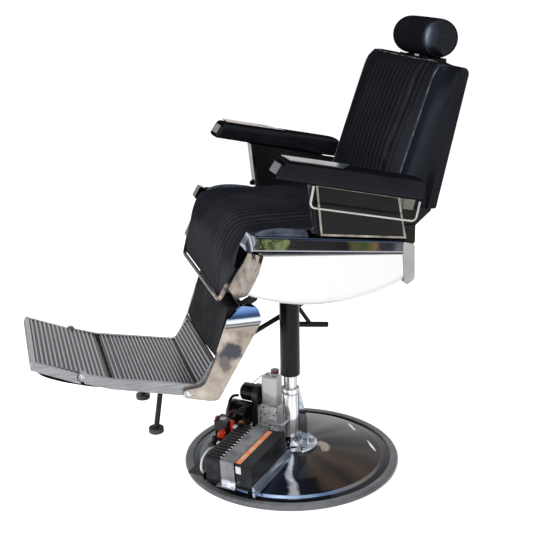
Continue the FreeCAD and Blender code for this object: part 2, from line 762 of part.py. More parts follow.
def hinge_brackets():
    """Seat-side bearings of the recline shaft."""
    x0 = RAIL_X[1]
    x1 = x0 + 12.0
    plate = side_prism([(162, 642), (200, 642), (259, 690), (259, 736), (211, 736), (195, 712), (195, 668),
                        (162, 668)], x0, x1)
    return both_sides(bored(plate, RECLINE_AXIS, SHAFT_R + RUNNING_GAP, x0, x1))


def rod_points():
    """(y, z) of the push rod's pivots on the legrest and on the recline arm."""
    front = (LEGREST_AXIS[0] + ROD_ARM[0], LEGREST_AXIS[1] + ROD_ARM[1])
    rear = (RECLINE_AXIS[0] + ROD_ARM[0], RECLINE_AXIS[1] + ROD_ARM[1])
    return front, rear


def recline_arm():
    """Lever welded on the recline shaft, with the rear pin of the push rod."""
    rear = rod_points()[1]
    x0 = ROD_X - 20
    x1 = ROD_X - 11
    plate = link_plate(RECLINE_AXIS, rear, 18.0, 12.0, x0, x1)
    pin = rod_x(rear[0], rear[1], x1, ROD_X + 13, ROD_PIN_R)
    head = rod_x(rear[0], rear[1], ROD_X + 10, ROD_X + 13, ROD_PIN_R + 5)
    return fuse([plate, pin, head])


def push_rod():
    front, rear = rod_points()
    length = math.hypot(rear[0] - front[0], rear[1] - front[1])
    direction = (0, (rear[0] - front[0]) / length, (rear[1] - front[1]) / length)
    bar = cylinder((ROD_X, front[0], front[1]), direction, ROD_R, length)
    eyes = [rod_x(p[0], p[1], ROD_X - 8, ROD_X + 8, ROD_EYE_R) for p in (front, rear)]
    body = fuse([bar] + eyes)
    body = body.cut(rod_x(front[0], front[1], ROD_X - 20, ROD_X + 20, ROD_PIN_R + RUNNING_GAP))
    return body.cut(rod_x(rear[0], rear[1], ROD_X - 20, ROD_X + 20, ROD_PIN_R + OPEN_PIVOT_GAP))


# Release lever

LEVER_PIVOT = (-38.0, 565.0)
LEVER_GRIP = (88.0, 370.0)
LEVER_X = -82.0
GRIP_HALF = 52.0
GRIP_SLOPE = 7.0


def release_lever():
    """T-shaped handle hanging behind the column on a pivot under the seat."""
    span = (LEVER_GRIP[0] - LEVER_PIVOT[0], LEVER_GRIP[1] - LEVER_PIVOT[1])
    length = math.hypot(*span)
    arm = cylinder((LEVER_X, *LEVER_PIVOT), (0, span[0] / length, span[1] / length), 6.0, length)
    boss = rod_x(*LEVER_PIVOT, LEVER_X - 7, LEVER_X + 7, 12.0)
    slope = math.radians(GRIP_SLOPE)
    run, drop = math.cos(slope), math.sin(slope)
    start = (LEVER_X, LEVER_GRIP[0] - GRIP_HALF * run, LEVER_GRIP[1] + GRIP_HALF * drop)
    grip = cylinder(start, (0, run, -drop), 8.0, 2 * GRIP_HALF)
    lever = fuse([arm, boss, grip])
    return lever.cut(rod_x(*LEVER_PIVOT, LEVER_X - 20, LEVER_X + 20, 6.0 + RUNNING_GAP))


def lever_bracket():
    """Fork under the frame that holds the lever's pin."""
    plates = [side_prism([(-52, 553), (-24, 553), (-24, 640), (-52, 640)], x, x + 5, [10, 10, 0, 0])
              for x in (LEVER_X - 14, LEVER_X + 9)]
    pin = rod_x(*LEVER_PIVOT, LEVER_X - 14, LEVER_X + 14, 6.0)
    return fuse(plates + [pin])


# Legrest

LEG_SIDE_LINE = [(-183.0, 546.0), (-140.0, 537.0), (-129.0, 501.0), (-250.0, 295.0), (-272.0, 296.0),
                 (-340.0, 314.0), (-340.0, 334.0), (-286.0, 338.0), (-254.0, 410.0), (-219.0, 510.0)]


def legrest_side():
    return side_prism(LEG_SIDE_LINE, *LEG_SIDE_X, [8, 12, 14, 14, 10, 9, 9, 30, 60, 8])


def legrest_shoulder():
    """Rounded top of the legrest's side, inside the side plate."""
    outline = [(-174.0, 531.0), (-170.0, 542.0), (-142.0, 535.0), (-131.0, 502.0), (-150.0, 500.0),
               (-183.6, 500.0)]
    return side_prism(outline, LEG_SIDE_X[0] - 20, LEG_SIDE_X[0], [0, 5, 10, 8, 0, 0])


def leg_pad_back():
    """Rear line of the leg pad, from top to bottom."""
    return offset_line(LEG_PAD_TOP_FRONT, LEG_PAD_LOW_FRONT, LEG_PAD_T)


def leg_pad_section(x, swell, trim):
    rear_top, rear_low = leg_pad_back()
    front_top = between(LEG_PAD_TOP_FRONT, LEG_PAD_LOW_FRONT, trim)
    front_low = between(LEG_PAD_LOW_FRONT, LEG_PAD_TOP_FRONT, trim)
    upper = offset_line(front_top, front_low, -swell)
    quarter = between(upper[0], upper[1], 0.12)
    three = between(upper[0], upper[1], 0.88)
    outline = [front_top, quarter, between(quarter, three, 0.5), three, front_low, rear_low, rear_top]
    points = [Vector(x, y, z) for y, z in outline]
    return Part.makePolygon(points + points[:1])


def leg_pad():
    half = LEG_PAD_HALF
    stations = [(-half, 0.0, 0.05), (-half + 8, 6.0, 0.02), (-half * 0.7, LEG_PAD_CROWN * 0.8, 0.01),
                (0, LEG_PAD_CROWN, 0.01), (half * 0.7, LEG_PAD_CROWN * 0.8, 0.01), (half - 8, 6.0, 0.02),
                (half, 0.0, 0.05)]
    return Part.makeLoft([leg_pad_section(*s) for s in stations], True, True)


def legrest_back_plate():
    top, low = offset_line(*leg_pad_back(), 0.5)
    back_top, back_low = offset_line(top, low, 4.0)
    return side_prism([top, low, back_low, back_top], -LEG_SIDE_X[0], LEG_SIDE_X[0])


def legrest_crossbars():
    """Tubes between the side plates, behind the back plate."""
    bars = [rod_x(y, z, -LEG_SIDE_X[0], LEG_SIDE_X[0], 8.0) for y, z in ((-184.0, 478.0), (-203.0, 418.0))]
    return Part.Compound(bars)


def legrest_hinge_tube():
    """Bored tube on the legrest's axis, with the lugs that join it to the back plate."""
    tube = rod_x(*LEGREST_AXIS, -96.0, 96.0, 11.0)
    outline = [(-165, 506), (-165, 524), (-178.5, 527), (-182.5, 512), (-186, 500), (-180, 496)]
    lugs = [side_prism(outline, x, x + 6) for x in (-90.0, 84.0)]
    return fuse([tube] + lugs).cut(rod_x(*LEGREST_AXIS, -120, 120, LEGREST_PIN_R + RUNNING_GAP))


def legrest_hinge_brackets():
    """Plates that hang the legrest's pin from the seat frame, with the pin."""
    outline = [(-174, 507), (-161, 503), (-118, 528), (-118, 560), (-136, 640), (-158, 640), (-139, 560),
               (-141, 538), (-171, 523)]
    plate = side_prism(outline, 98.0, 106.0, [5, 5, 8, 8, 0, 0, 8, 5, 5])
    pin = rod_x(*LEGREST_AXIS, -110.0, 110.0, LEGREST_PIN_R)
    return fuse([plate, mirrored(plate), pin])


def rod_clevis():
    """Fork on the legrest's back plate that holds the push rod's front pin."""
    front = rod_points()[0]
    top = offset_line(*leg_pad_back(), 3.0)
    root_high = between(top[1], top[0], 0.42)
    root_low = between(top[1], top[0], 0.02)
    plates = []
    outline = [root_high, root_low, (front[0] - 8, front[1] - 11), (front[0] + 8, front[1] + 11)]
    for x in (ROD_X - 16, ROD_X + 10):
        plate = side_prism(outline, x, x + 6)
        plates.append(fuse([plate, disc_plate(front, 13.0, x, x + 6)]))
    pin = rod_x(front[0], front[1], ROD_X - 18, ROD_X + 18, ROD_PIN_R)
    return fuse(plates + [pin])


# Footrest

def tread_profile(start, end, ribs, margin=0.03):
    """(y, z) points along a tread's top from start to end, with half-round ribs."""
    length = math.hypot(end[0] - start[0], end[1] - start[1])
    up = (-(end[1] - start[1]) / length, (end[0] - start[0]) / length)
    points = [start]
    pitch = (1 - 2 * margin) / ribs
    for index in range(ribs):
        base = margin + pitch * index
        for share, height in ((0.15, 0.0), (0.3, 1.0), (0.6, 1.0), (0.75, 0.0)):
            y, z = between(start, end, base + pitch * share)
            points.append((y + up[0] * RIB_H * height, z + up[1] * RIB_H * height))
    points.append(end)
    return points


def below(points, distance):
    return [(y, z - distance) for y, z in reversed(points)]


def flip_plate():
    """Outer tread: a casting with side rails that ends in a narrower tongue between the frame's rails."""
    inner = FOOT_HALF - FOOT_RAIL_T
    tip = (FOOT_TIP[0] + 3, FOOT_TIP[1] - TREAD_DROP)
    end = (FOOT_BEND[0] - 8, FOOT_BEND[1] - TREAD_DROP + 2)
    top = tread_profile(tip, end, OUTER_RIBS)
    tread = side_prism(top + below([tip, end], TREAD_T), -inner + 1, inner - 1)
    lip = side_prism([FOOT_TIP, (FOOT_TIP[0] + 9, FOOT_TIP[1] - 2), (FOOT_TIP[0] + 2, FOOT_TIP[1] - 24),
                      (FOOT_TIP[0] - 8, FOOT_TIP[1] - 19)], -FOOT_HALF, FOOT_HALF, [2, 2, 3, 5])
    rail_end = (FLIP_AXIS[0] - 7, FOOT_NOTCH[1] - 3)
    side = side_prism([FOOT_TIP, rail_end, (FLIP_AXIS[0] - 7, 382.0), (FOOT_TIP[0] - 6, FOOT_TIP[1] - 20)],
                      inner, FOOT_HALF, [2, 0, 0, 5])
    side = side.cut(disc_plate(FLIP_AXIS, 15.0, inner - 1, FOOT_HALF + 1))
    lug = side_prism([(FLIP_AXIS[0] - 12, 396.0), (FLIP_AXIS[0] + 12, 388.0), (FLIP_AXIS[0] + 8, 380.0),
                      (FLIP_AXIS[0] - 8, 380.0)], inner - 9, inner - 1)
    lug = fuse([lug, disc_plate((FLIP_AXIS[0], FLIP_AXIS[1] - 8), 9.0, inner - 9, inner - 1)])
    body = fuse([tread, lip, side, mirrored(side), lug, mirrored(lug)])
    for middle in (inner, -inner):
        body = body.cut(rod_x(*FLIP_AXIS, middle - 12, middle + 12, 4.0 + RUNNING_GAP))
    return body


def footrest_frame():
    """Inner tread: a casting with side rails, bent once, whose heel turns up in front of the leg pad."""
    inner = FOOT_HALF - FOOT_RAIL_T
    bend = (FOOT_BEND[0] + 2, FOOT_BEND[1] - TREAD_DROP)
    heel = (FOOT_HEEL[0] - 4, FOOT_HEEL[1] - TREAD_DROP + 3)
    flat = between(bend, heel, 0.1)
    top = [bend] + tread_profile(flat, heel, INNER_RIBS) + tread_profile(heel, FOOT_HEEL_TOP, HEEL_RIBS)[1:]
    under = [(FOOT_HEEL_TOP[0] + 5, FOOT_HEEL_TOP[1] - 3), (heel[0] + 5, heel[1] - TREAD_T - 1),
             (bend[0], bend[1] - TREAD_T)]
    tread = side_prism(top + under, -inner - 0.5, inner + 0.5)
    outline = [(FLIP_AXIS[0] + 2, 406.5), (FOOT_BEND[0], FOOT_BEND[1]), FOOT_HEEL,
               (FOOT_HEEL_TOP[0] - 2, FOOT_HEEL_TOP[1] + 4), (FOOT_HEEL_TOP[0] + 7, FOOT_HEEL_TOP[1] + 2),
               (-283.0, 334.0), (-306.0, 312.0), (-341.0, 316.0), (-522.0, 358.0), (FLIP_AXIS[0] + 2, 382.0)]
    side = side_prism(outline, inner, FOOT_HALF, [0, 60, 16, 3, 3, 20, 12, 10, 60, 0])
    side = fuse([side, disc_plate(FLIP_AXIS, 12.4, inner, FOOT_HALF)])
    body = fuse([tread, side, mirrored(side)])
    for x0, x1 in ((inner - 2, FOOT_HALF + 2), (-FOOT_HALF - 2, -inner + 2)):
        body = body.cut(rod_x(*FLIP_AXIS, x0, x1, 4.02))
        body = body.cut(rod_x(*FOOT_AXIS, x0, x1, 5.05))
    return body


def headed_pin(axis, x0, x1, radius, head):
    """Rivet along X with a low round head at its outer end."""
    dome = Part.makeSphere(head * 1.25, Vector(x1 - head * 0.75, axis[0], axis[1]))
    keep = box((x1, x1 + head), (axis[0] - head, axis[0] + head), (axis[1] - head, axis[1] + head))
    return fuse([rod_x(axis[0], axis[1], x0, x1, radius), dome.common(keep)])


def flip_rivets():
    return both_sides(headed_pin(FLIP_AXIS, FOOT_HALF - FOOT_RAIL_T - 11, FOOT_HALF, 4.0, 6.0))


def footrest_rivets():
    return both_sides(headed_pin(FOOT_AXIS, FOOT_HALF - FOOT_RAIL_T - 1, LEG_SIDE_X[1], 5.0, 8.0))


def calf_section(x, swell):
    line = [(-703.0, 425.0), (-690.0, 400.0), (-643.0, 377.0), (-567.0, 352.0), (-531.0, 352.0)]
    sag = [0.0, 0.45, 1.0, 1.0, 0.2]
    low = [(y, z - swell * s) for (y, z), s in zip(line, sag)]
    high = [(-530.0, 375.0), (-700.0, 437.0)]
    points = [Vector(x, y, z) for y, z in low + high]
    return Part.makePolygon(points + points[:1])


def calf_pad():
    stations = [(-150.0, -8.0), (-140.0, -1.0), (-80.0, 7.0), (0.0, 10.0), (80.0, 7.0), (140.0, -1.0),
                (150.0, -8.0)]
    return Part.makeLoft([calf_section(*s) for s in stations], True, True)


def footrest_legs():
    """Two short legs under the inner tread."""
    top = (LEG_X, -382.4, 347.4)
    foot = (LEG_X, -404.0, 209.2)
    direction = tuple(b - a for a, b in zip(top, foot))
    length = math.sqrt(sum(d * d for d in direction))
    return both_sides(cylinder(top, direction, 7.0, length))


def leg_feet():
    foot = cylinder((LEG_X, -405.0, 193.0), (0, 0, 1), 20.0, 15.0)
    foot = foot.makeFillet(3.0, [e for e in foot.Edges if e.Length > 50])
    return both_sides(foot)


# Power pack

def pack_place(shape, tilted=True):
    """Move a shape from the pack's own frame (along, left, up) to the base."""
    lean = Rotation(Vector(0, 1, 0), -PACK_TILT if tilted else 0.0)
    turn = Rotation(Vector(0, 0, 1), PACK_TURN)
    moved = shape.copy()
    moved.Placement = Placement(Vector(*PACK_ORIGIN, TRAY_Z), turn.multiply(lean)).multiply(moved.Placement)
    return moved


def tray_rails():
    """Two aluminium bars along the battery's side."""
    rails = [pack_place(box((0, TRAY_L), (-7, 0), (low, low + 14))) for low in (0.0, 17.0)]
    return Part.Compound([on_dome(rails[0]), rails[1]])


def battery_tray():
    """Floor, left wall, shelf for the control box and four feet that end on the base cover."""
    floor = box((0, TRAY_L), (0, BATTERY_W + 4), (15.5, 18.5))
    wall = box((0, TRAY_L), (BATTERY_W + 4, BATTERY_W + 6), (15.5, 34))
    shelf = box((14, 190), (BATTERY_W + 5, 208), (15.5, 20))
    legs = [pack_place(cylinder((x, y, -15), (0, 0, 1), 6.0, 32.0))
            for x, y in ((22, 22), (50, 140), (180, 22), (150, 140))]
    return fuse([pack_place(fuse([floor, wall, shelf]))] + [on_dome(leg) for leg in legs])


def battery_case():
    body = box((4, TRAY_L - 8), (0.6, BATTERY_W), (18.5, 18.5 + BATTERY_H))
    upright = [e for e in body.Edges if e.BoundBox.ZLength > 30]
    return pack_place(body.makeFillet(4.0, upright))


def battery_lid():
    """Upper case with a row of short fins along its left side."""
    top = 18.5 + BATTERY_H
    plate = box((5, TRAY_L - 9), (1.6, BATTERY_W - 1), (top, top + 3))
    fins = [box((12 + 14 * k, 19 + 14 * k), (98, BATTERY_W - 6), (top + 3, top + 5)) for k in range(13)]
    return pack_place(fuse([plate] + fins))


def battery_strap():
    """Bent strip over the battery, with a foot at the near end."""
    top = 18.5 + BATTERY_H + 3.2
    width = (52, 94)
    body = [box((0, TRAY_L - 2), width, (top, top + 2.5)), box((0, 2.5), width, (18.6, top + 2.5)),
            box((-16, 2.5), (44, 102), (18.6, 21.1)),
            box((TRAY_L - 4.5, TRAY_L - 2), width, (18.6, top + 2.5))]
    return pack_place(fuse(body))


def control_box():
    """Relay housing left of the battery, with a raised block, two stud covers and the isolator's socket."""
    base = box(RELAY_S, RELAY_T, (20, RELAY_TOP))
    block = box((166, 208), (170, 212), (RELAY_TOP - 1, 98))
    boots = [cylinder((186, 164, RELAY_TOP - 1), (0, 0, 1), 7.0, 36.0),
             cylinder((120, 186, RELAY_TOP - 1), (0, 0, 1), 7.0, 17.0)]
    socket = cylinder((*ISOLATOR_POINT[:2], RELAY_TOP - 1), (0, 0, 1), 15.0, 3.0)
    return pack_place(fuse([base, block, socket] + boots))


def isolator_knob():
    x, y, z = ISOLATOR_POINT
    knob = cylinder((x, y, z), (0, 0, 1), 12.0, 12.0)
    bar = box((x - 14, x + 14), (y - 3.5, y + 3.5), (z + 5, z + 15))
    return pack_place(fuse([knob, bar]))


def valve_block():
    """Cast block with port bosses, under the reservoir."""
    body = box(PUMP_S, PUMP_T, (40, 132))
    body = body.makeFillet(6.0, [e for e in body.Edges if e.BoundBox.ZLength > 50])
    bosses = [cylinder((PUMP_S[0] + 1, PORT_T, z), (-1, 0, 0), 9.0, 9.0) for z in PORT_HEIGHTS]
    foot_low = DOME_TOP_Z + FLANGE_T - TRAY_Z
    foot = box((PUMP_S[0] - 4, PUMP_S[1] + 2), (PUMP_T[0] + 6, PUMP_T[1] + 4), (foot_low, 42))
    return pack_place(fuse([body, foot] + bosses), tilted=False)


def fluid_reservoir():
    body = box((PUMP_S[0] + 9, PUMP_S[1] - 2), (PUMP_T[0] + 2, PUMP_T[1] + 2), (134, RESERVOIR_TOP))
    body = body.makeFillet(12.0, [e for e in body.Edges if e.BoundBox.ZLength > 50])
    rim = [e for e in body.Edges if e.BoundBox.ZLength < 0.1 and e.BoundBox.ZMin > RESERVOIR_TOP - 1]
    body = body.makeFillet(7.0, rim)
    neck = cylinder((*CAP_POINT, RESERVOIR_TOP - 1), (0, 0, 1), 8.0, 6.0)
    return pack_place(fuse([body, neck]), tilted=False)


def reservoir_cap():
    return pack_place(cylinder((*CAP_POINT, RESERVOIR_TOP + 5.2), (0, 0, 1), 12.0, 10.0), tilted=False)


def belled_cylinder(centre, radius, ends):
    """Cylinder along the pack's left axis, with a bevelled far end and a stud on it."""
    body = cylinder((centre[0], ends[0], centre[1]), (0, 1, 0), radius, ends[1] - ends[0] - 7)
    bell = Part.makeCone(radius, radius - 7, 7.0, Vector(centre[0], ends[1] - 7, centre[1]), Vector(0, 1, 0))
    stud = cylinder((centre[0], ends[1] - 1, centre[1]), (0, 1, 0), 7.0, 6.0)
    return pack_place(fuse([body, bell, stud]), tilted=False)


def pump_motor():
    """Horizontal motor, and the smaller starting solenoid above it."""
    return Part.Compound([belled_cylinder(MOTOR_CENTRE, MOTOR_R, MOTOR_T),
                          belled_cylinder(STARTER_CENTRE, STARTER_R, STARTER_T)])


def starter_strap():
    """Bent strap round the solenoid, standing on the base cover."""
    a, z = STARTER_CENTRE
    y0 = STARTER_T[0] + 2
    outer = cylinder((a, y0, z), (0, 1, 0), STARTER_R + 3.5, 18.0)
    ring = outer.cut(cylinder((a, y0 - 1, z), (0, 1, 0), STARTER_R + 0.3, 20.0))
    legs = [box((x, x + 3.2), (y0, y0 + 18), (0, z)) for x in (a - STARTER_R - 3.5, a + STARTER_R + 0.3)]
    return on_dome(pack_place(fuse([ring] + legs), tilted=False))


def motor_cradle():
    """Hollow block under the motor, cut to its round."""
    a, z = MOTOR_CENTRE
    block = box((a - 20, a + 20), (160, 202), (0, z - 20))
    return on_dome(pack_place(block.cut(cylinder((a, 150, z), (0, 1, 0), MOTOR_R + 0.3, 60)), tilted=False))


def motor_saddle():
    return Part.Compound([starter_strap(), motor_cradle()])


def pressure_hose():
    """Short fixed hose from the valve block's upper port to the cylinder's side."""
    port = PORT_HEIGHTS[1]
    corners = [(PUMP_S[0] - 8, PORT_T, port), (PUMP_S[0] - 27, PORT_T, port), (PUMP_S[0] - 27, 36.9, port),
               (270.1, 36.9, port)]
    points = [pack_place(Part.Vertex(*corner), tilted=False).Point for corner in corners]
    return tube_along([tuple(p) for p in points], 9.0, 5.0)


def battery():
    """Case and finned lid, moulded as one."""
    case = battery_case()
    return fuse([case, battery_lid()])


def tray():
    """The battery's tray with its two side bars."""
    return Part.Compound([battery_tray(), tray_rails()])


def legrest_frame():
    """Welded frame behind the leg pad: plate, cross tubes, bored hinge tube and push rod fork."""
    return fuse([legrest_back_plate(), legrest_hinge_tube(), rod_clevis()] + legrest_crossbars().Solids)


def shaft_and_arm():
    return fuse([recline_shaft(), recline_arm()])


def legrest_side_panels():
    return both_sides(fuse([legrest_side(), legrest_shoulder()]))


def bored_side_panels():
    panels = []
    for solid in legrest_side_panels().Solids:
        panels.append(solid.cut(rod_x(*FOOT_AXIS, -250.0, 250.0, 5.0 + RUNNING_GAP)))
    return Part.Compound(panels)


def cushion_and_rolls():
    return Part.Compound([seat_cushion()] + seat_side_rolls().Solids)


def flange_and_bracket():
    return fuse([column_flange(), column_bracket()])


def armrest_pads():
    """Pads with recesses for their plates."""
    pad = armrest_pad().cut(armrest_top_plate()).cut(armrest_end_cap())
    return both_sides(pad)


def armrest_plates():
    return both_sides(Part.Compound([armrest_top_plate(), armrest_end_cap()]))


def arm_panel_frames():
    return both_sides(Part.Compound([arm_panel_trim(), panel_front_rim()]))


def footrest_pins():
    return Part.Compound(flip_rivets().Solids + footrest_rivets().Solids)


NODES = {
    "base_plate": base_plate,
    "base_cover": base_cover,
    "base_rubber_ring": base_rubber_ring,
    "column_flange": flange_and_bracket,
    "flange_bolts": flange_bolts,
    "cylinder_tube": cylinder_tube,
    "gland_nut": gland_nut,
    "battery": battery,
    "battery_tray": tray,
    "battery_strap": battery_strap,
    "control_box": control_box,
    "isolator_knob": isolator_knob,
    "valve_block": valve_block,
    "fluid_reservoir": fluid_reservoir,
    "reservoir_cap": reservoir_cap,
    "pump_motor": pump_motor,
    "motor_saddle": motor_saddle,
    "pressure_hose": pressure_hose,
    "ram_tube": ram_tube,
    "piston": piston,
    "piston_seal": piston_seal,
    "column_sleeve": column_sleeve,
    "swivel_bearing": swivel_bearing,
    "swivel_hub": swivel_hub,
    "frame_side_rails": frame_side_rails,
    "frame_crossbars": frame_crossbars,
    "seat_board": seat_board,
    "seat_cushion": cushion_and_rolls,
    "apron_board": apron_board,
    "front_trim": front_trim,
    "side_bands": lambda: both_sides(side_band()),
    "side_corner_caps": lambda: both_sides(corner_cap()),
    "side_shells": lambda: both_sides(side_shell()),
    "front_strips": lambda: both_sides(front_strip()),
    "rear_caps": lambda: both_sides(rear_cap()),
    "armrest_pads": armrest_pads,
    "armrest_plates": armrest_plates,
    "arm_panels": lambda: both_sides(arm_panel()),
    "arm_panel_frames": arm_panel_frames,
    "towel_rail": towel_rail,
    "hinge_brackets": hinge_brackets,
    "legrest_hinge_brackets": legrest_hinge_brackets,
    "back_cushion": back_cushion,
    "back_board": back_board,
    "back_hinge_arms": back_hinge_arms,
    "recline_shaft": shaft_and_arm,
    "headrest_guide": headrest_guide,
    "headrest_post": headrest_post,
    "headrest_pad": headrest_pad,
    "push_rod": push_rod,
    "release_lever": release_lever,
    "leg_pad": leg_pad,
    "legrest_side_panels": bored_side_panels,
    "legrest_frame": legrest_frame,
    "footrest_frame": footrest_frame,
    "footrest_rivets": footrest_pins,
    "footrest_legs": footrest_legs,
    "leg_feet": leg_feet,
    "flip_plate": flip_plate,
    "calf_pad": calf_pad,
}


def main():
    os.makedirs("parts", exist_ok=True)
    for name, make in NODES.items():
        shape = make()
        shape.exportStep("parts/" + name + ".step")
        print(name, shape.isValid(), len(shape.Solids), round(shape.Volume / 1000.0, 1))


main()
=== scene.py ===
"""Dressed look of the hydraulic barber chair: padded pieces, finishes, stage and camera."""

import math

import bpy
import numpy as np
from bpy.props import FloatProperty, FloatVectorProperty, IntProperty, PointerProperty
from mathutils import Matrix, Vector


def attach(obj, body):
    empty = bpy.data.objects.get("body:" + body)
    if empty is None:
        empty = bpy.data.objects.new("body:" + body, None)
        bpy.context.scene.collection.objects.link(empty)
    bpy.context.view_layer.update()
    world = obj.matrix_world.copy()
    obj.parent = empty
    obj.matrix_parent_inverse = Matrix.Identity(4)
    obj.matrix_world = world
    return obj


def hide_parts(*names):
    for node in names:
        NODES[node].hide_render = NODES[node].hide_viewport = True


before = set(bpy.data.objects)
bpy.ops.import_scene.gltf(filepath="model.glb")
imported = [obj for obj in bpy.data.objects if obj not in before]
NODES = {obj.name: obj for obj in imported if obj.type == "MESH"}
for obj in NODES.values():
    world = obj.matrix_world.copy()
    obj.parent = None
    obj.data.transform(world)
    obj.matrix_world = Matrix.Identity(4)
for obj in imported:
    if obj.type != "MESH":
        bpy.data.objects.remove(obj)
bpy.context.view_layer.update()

bl_info = {
    "name": "Barber chair dressing",
    "version": (1, 0, 0),
    "blender": (4, 5, 0),
    "location": "3D View > Sidebar > Chair",
    "description": "Pads, finishes, power pack details and stage of a hydraulic barber chair",
    "category": "Object",
}

MM = 0.001
SIDES = ((1, "left"), (-1, "right"))
FINISHES = {}
EDGE_ROUND = 0.6
CLOTH_PRESSURE = 4.0
CLOTH_FRAMES = 15
EVEN_ROUNDS = 14


# Sizes and colours a user may change

class ChairPads(bpy.types.PropertyGroup):
    """Sizes of the upholstery."""
    seat_crown: FloatProperty(name="Seat crown", description="Rise of the seat's middle over its edges, mm",
                              default=17.0, min=0.0, max=30.0)
    seat_channels: IntProperty(name="Seat channels", description="Sewn channels across the seat", default=18,
                               min=0, max=30)
    back_channels: IntProperty(name="Back channels", description="Sewn channels across the back", default=14,
                               min=0, max=30)
    channel_depth: FloatProperty(name="Channel depth", description="Depth of a sewn channel, mm", default=3.2,
                                 min=0.0, max=6.0)
    swell: FloatProperty(name="Swell cap", description="Most that the simulated filling may move a point, mm",
                         default=5.0, min=0.0, max=15.0)


class ChairColours(bpy.types.PropertyGroup):
    """Main colours."""
    vinyl: FloatVectorProperty(name="Vinyl", description="Colour of the upholstery", subtype="COLOR",
                               default=(0.0065, 0.0069, 0.0092), min=0.0, max=1.0)
    shell: FloatVectorProperty(name="Side shells", description="Colour of the side shells", subtype="COLOR",
                               default=(0.93, 0.93, 0.93), min=0.0, max=1.0)
    strip: FloatVectorProperty(name="Battery strip", description="Colour of the battery's bare strip",
                               subtype="COLOR", default=(0.76, 0.205, 0.049), min=0.0, max=1.0)
    knob: FloatVectorProperty(name="Isolator knob", description="Colour of the isolator's knob",
                              subtype="COLOR", default=(0.9, 0.07, 0.03), min=0.0, max=1.0)


class ChairStage(bpy.types.PropertyGroup):
    """Camera and light levels."""
    lens: FloatProperty(name="Lens", description="Focal length of the camera", default=68.22,
                        min=20.0, max=200.0, unit="CAMERA")
    world: FloatProperty(name="World light", description="Strength of the even light from all round",
                         default=0.55, min=0.0, max=3.0)
    key: FloatProperty(name="Key light", description="Power of the main softbox", default=95.0, min=0.0,
                       max=1000.0, unit="POWER")


# Mesh building

def grid_faces(rows, cols, wrap_rows=False, wrap_cols=False):
    """Quads of a rows by cols grid of points numbered row by row, joined end to end where a side wraps."""
    i = np.arange(rows if wrap_rows else rows - 1)
    j = np.arange(cols if wrap_cols else cols - 1)
    a, b = np.meshgrid(i, j, indexing="ij")
    after_a = (a + 1) % rows
    after_b = (b + 1) % cols
    quads = np.stack([a * cols + b, after_a * cols + b, after_a * cols + after_b, a * cols + after_b], -1)
    return quads.reshape(-1, 4)


def signed_volume(points, faces):
    """Volume inside the faces, negative when they point inwards: the sum of origin tetrahedra of each fan."""
    total = 0.0
    for face in faces:
        p = points[list(face)]
        total += np.einsum("ij,ij->i", np.cross(p[1:-1], p[2:]), np.repeat(p[:1], len(p) - 2, 0)).sum()
    return total


def outward(points, faces):
    """The faces, turned round where they point inwards."""
    if signed_volume(points - points.mean(0), faces) < 0:
        return [f[::-1] for f in faces]
    return faces


def linked(name, points, faces):
    """A mesh object at the origin from points in millimetres."""
    mesh = bpy.data.meshes.new(name)
    mesh.from_pydata((points * MM).tolist(), [], faces)
    obj = bpy.data.objects.new(name, mesh)
    bpy.context.scene.collection.objects.link(obj)
    return obj


def piece(name, points, faces, body, finish, replaces=(), smooth=True, grooves=None):
    """A named piece that rides on a body, in one of FINISHES. grooves is a value per point that its material
    reads."""
    points = points.reshape(-1, 3)
    obj = linked(name, points, outward(points, [list(map(int, f)) for f in faces]))
    mesh = obj.data
    mesh.polygons.foreach_set("use_smooth", np.full(len(faces), smooth))
    mesh.materials.append(FINISHES[finish])
    if grooves is not None:
        mesh.attributes.new("groove", "FLOAT", "POINT").data.foreach_set("value", grooves.astype(np.float32))
    mesh.update()
    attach(obj, body)
    if replaces:
        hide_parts(*replaces)
    return obj


def padded_piece(name, points, faces, body, finish, replaces=(), grooves=None):
    """A padded piece, one step finer than its points, with its share of filling."""
    obj = piece(name, points, faces, body, finish, replaces, grooves=grooves)
    modified(obj, "SUBSURF", levels=1, render_levels=1)


def modified(obj, kind, **settings):
    """Adds a modifier with its settings."""
    modifier = obj.modifiers.new(kind.title(), kind)
    for key, value in settings.items():
        setattr(modifier, key, value)
    return modifier


def softened(obj, angle=35.0):
    """Rounds the object's edges that are sharper than the angle, in degrees."""
    return modified(obj, "BEVEL", width=EDGE_ROUND * MM, segments=2, limit_method="ANGLE",
                    angle_limit=math.radians(angle), harden_normals=False)


def chaikin(rings, times=3):
    """Closed outlines of shape (..., k, d), rounded by corner cutting: each side keeps its points at 1/4 and
    3/4."""
    for _ in range(times):
        after = np.roll(rings, -1, axis=-2)
        pair = np.stack([rings * 0.75 + after * 0.25, rings * 0.25 + after * 0.75], axis=-2)
        rings = pair.reshape(*rings.shape[:-2], rings.shape[-2] * 2, rings.shape[-1])
    return rings


def smooth_path(points, count):
    """count points along a Catmull-Rom curve through the given points."""
    p = np.asarray(points, float)
    p = np.vstack([2 * p[:1] - p[1:2], p, 2 * p[-1:] - p[-2:-1]])
    spans = len(p) - 3
    t = np.linspace(0, spans, count)
    k = np.minimum(t.astype(int), spans - 1)
    u = (t - k)[:, None]
    a, b, c, d = p[k], p[k + 1], p[k + 2], p[k + 3]
    square, cube = 2 * a - 5 * b + 4 * c - d, 3 * b - a - 3 * c + d
    return 0.5 * (2 * b + (c - a) * u + square * u ** 2 + cube * u ** 3)


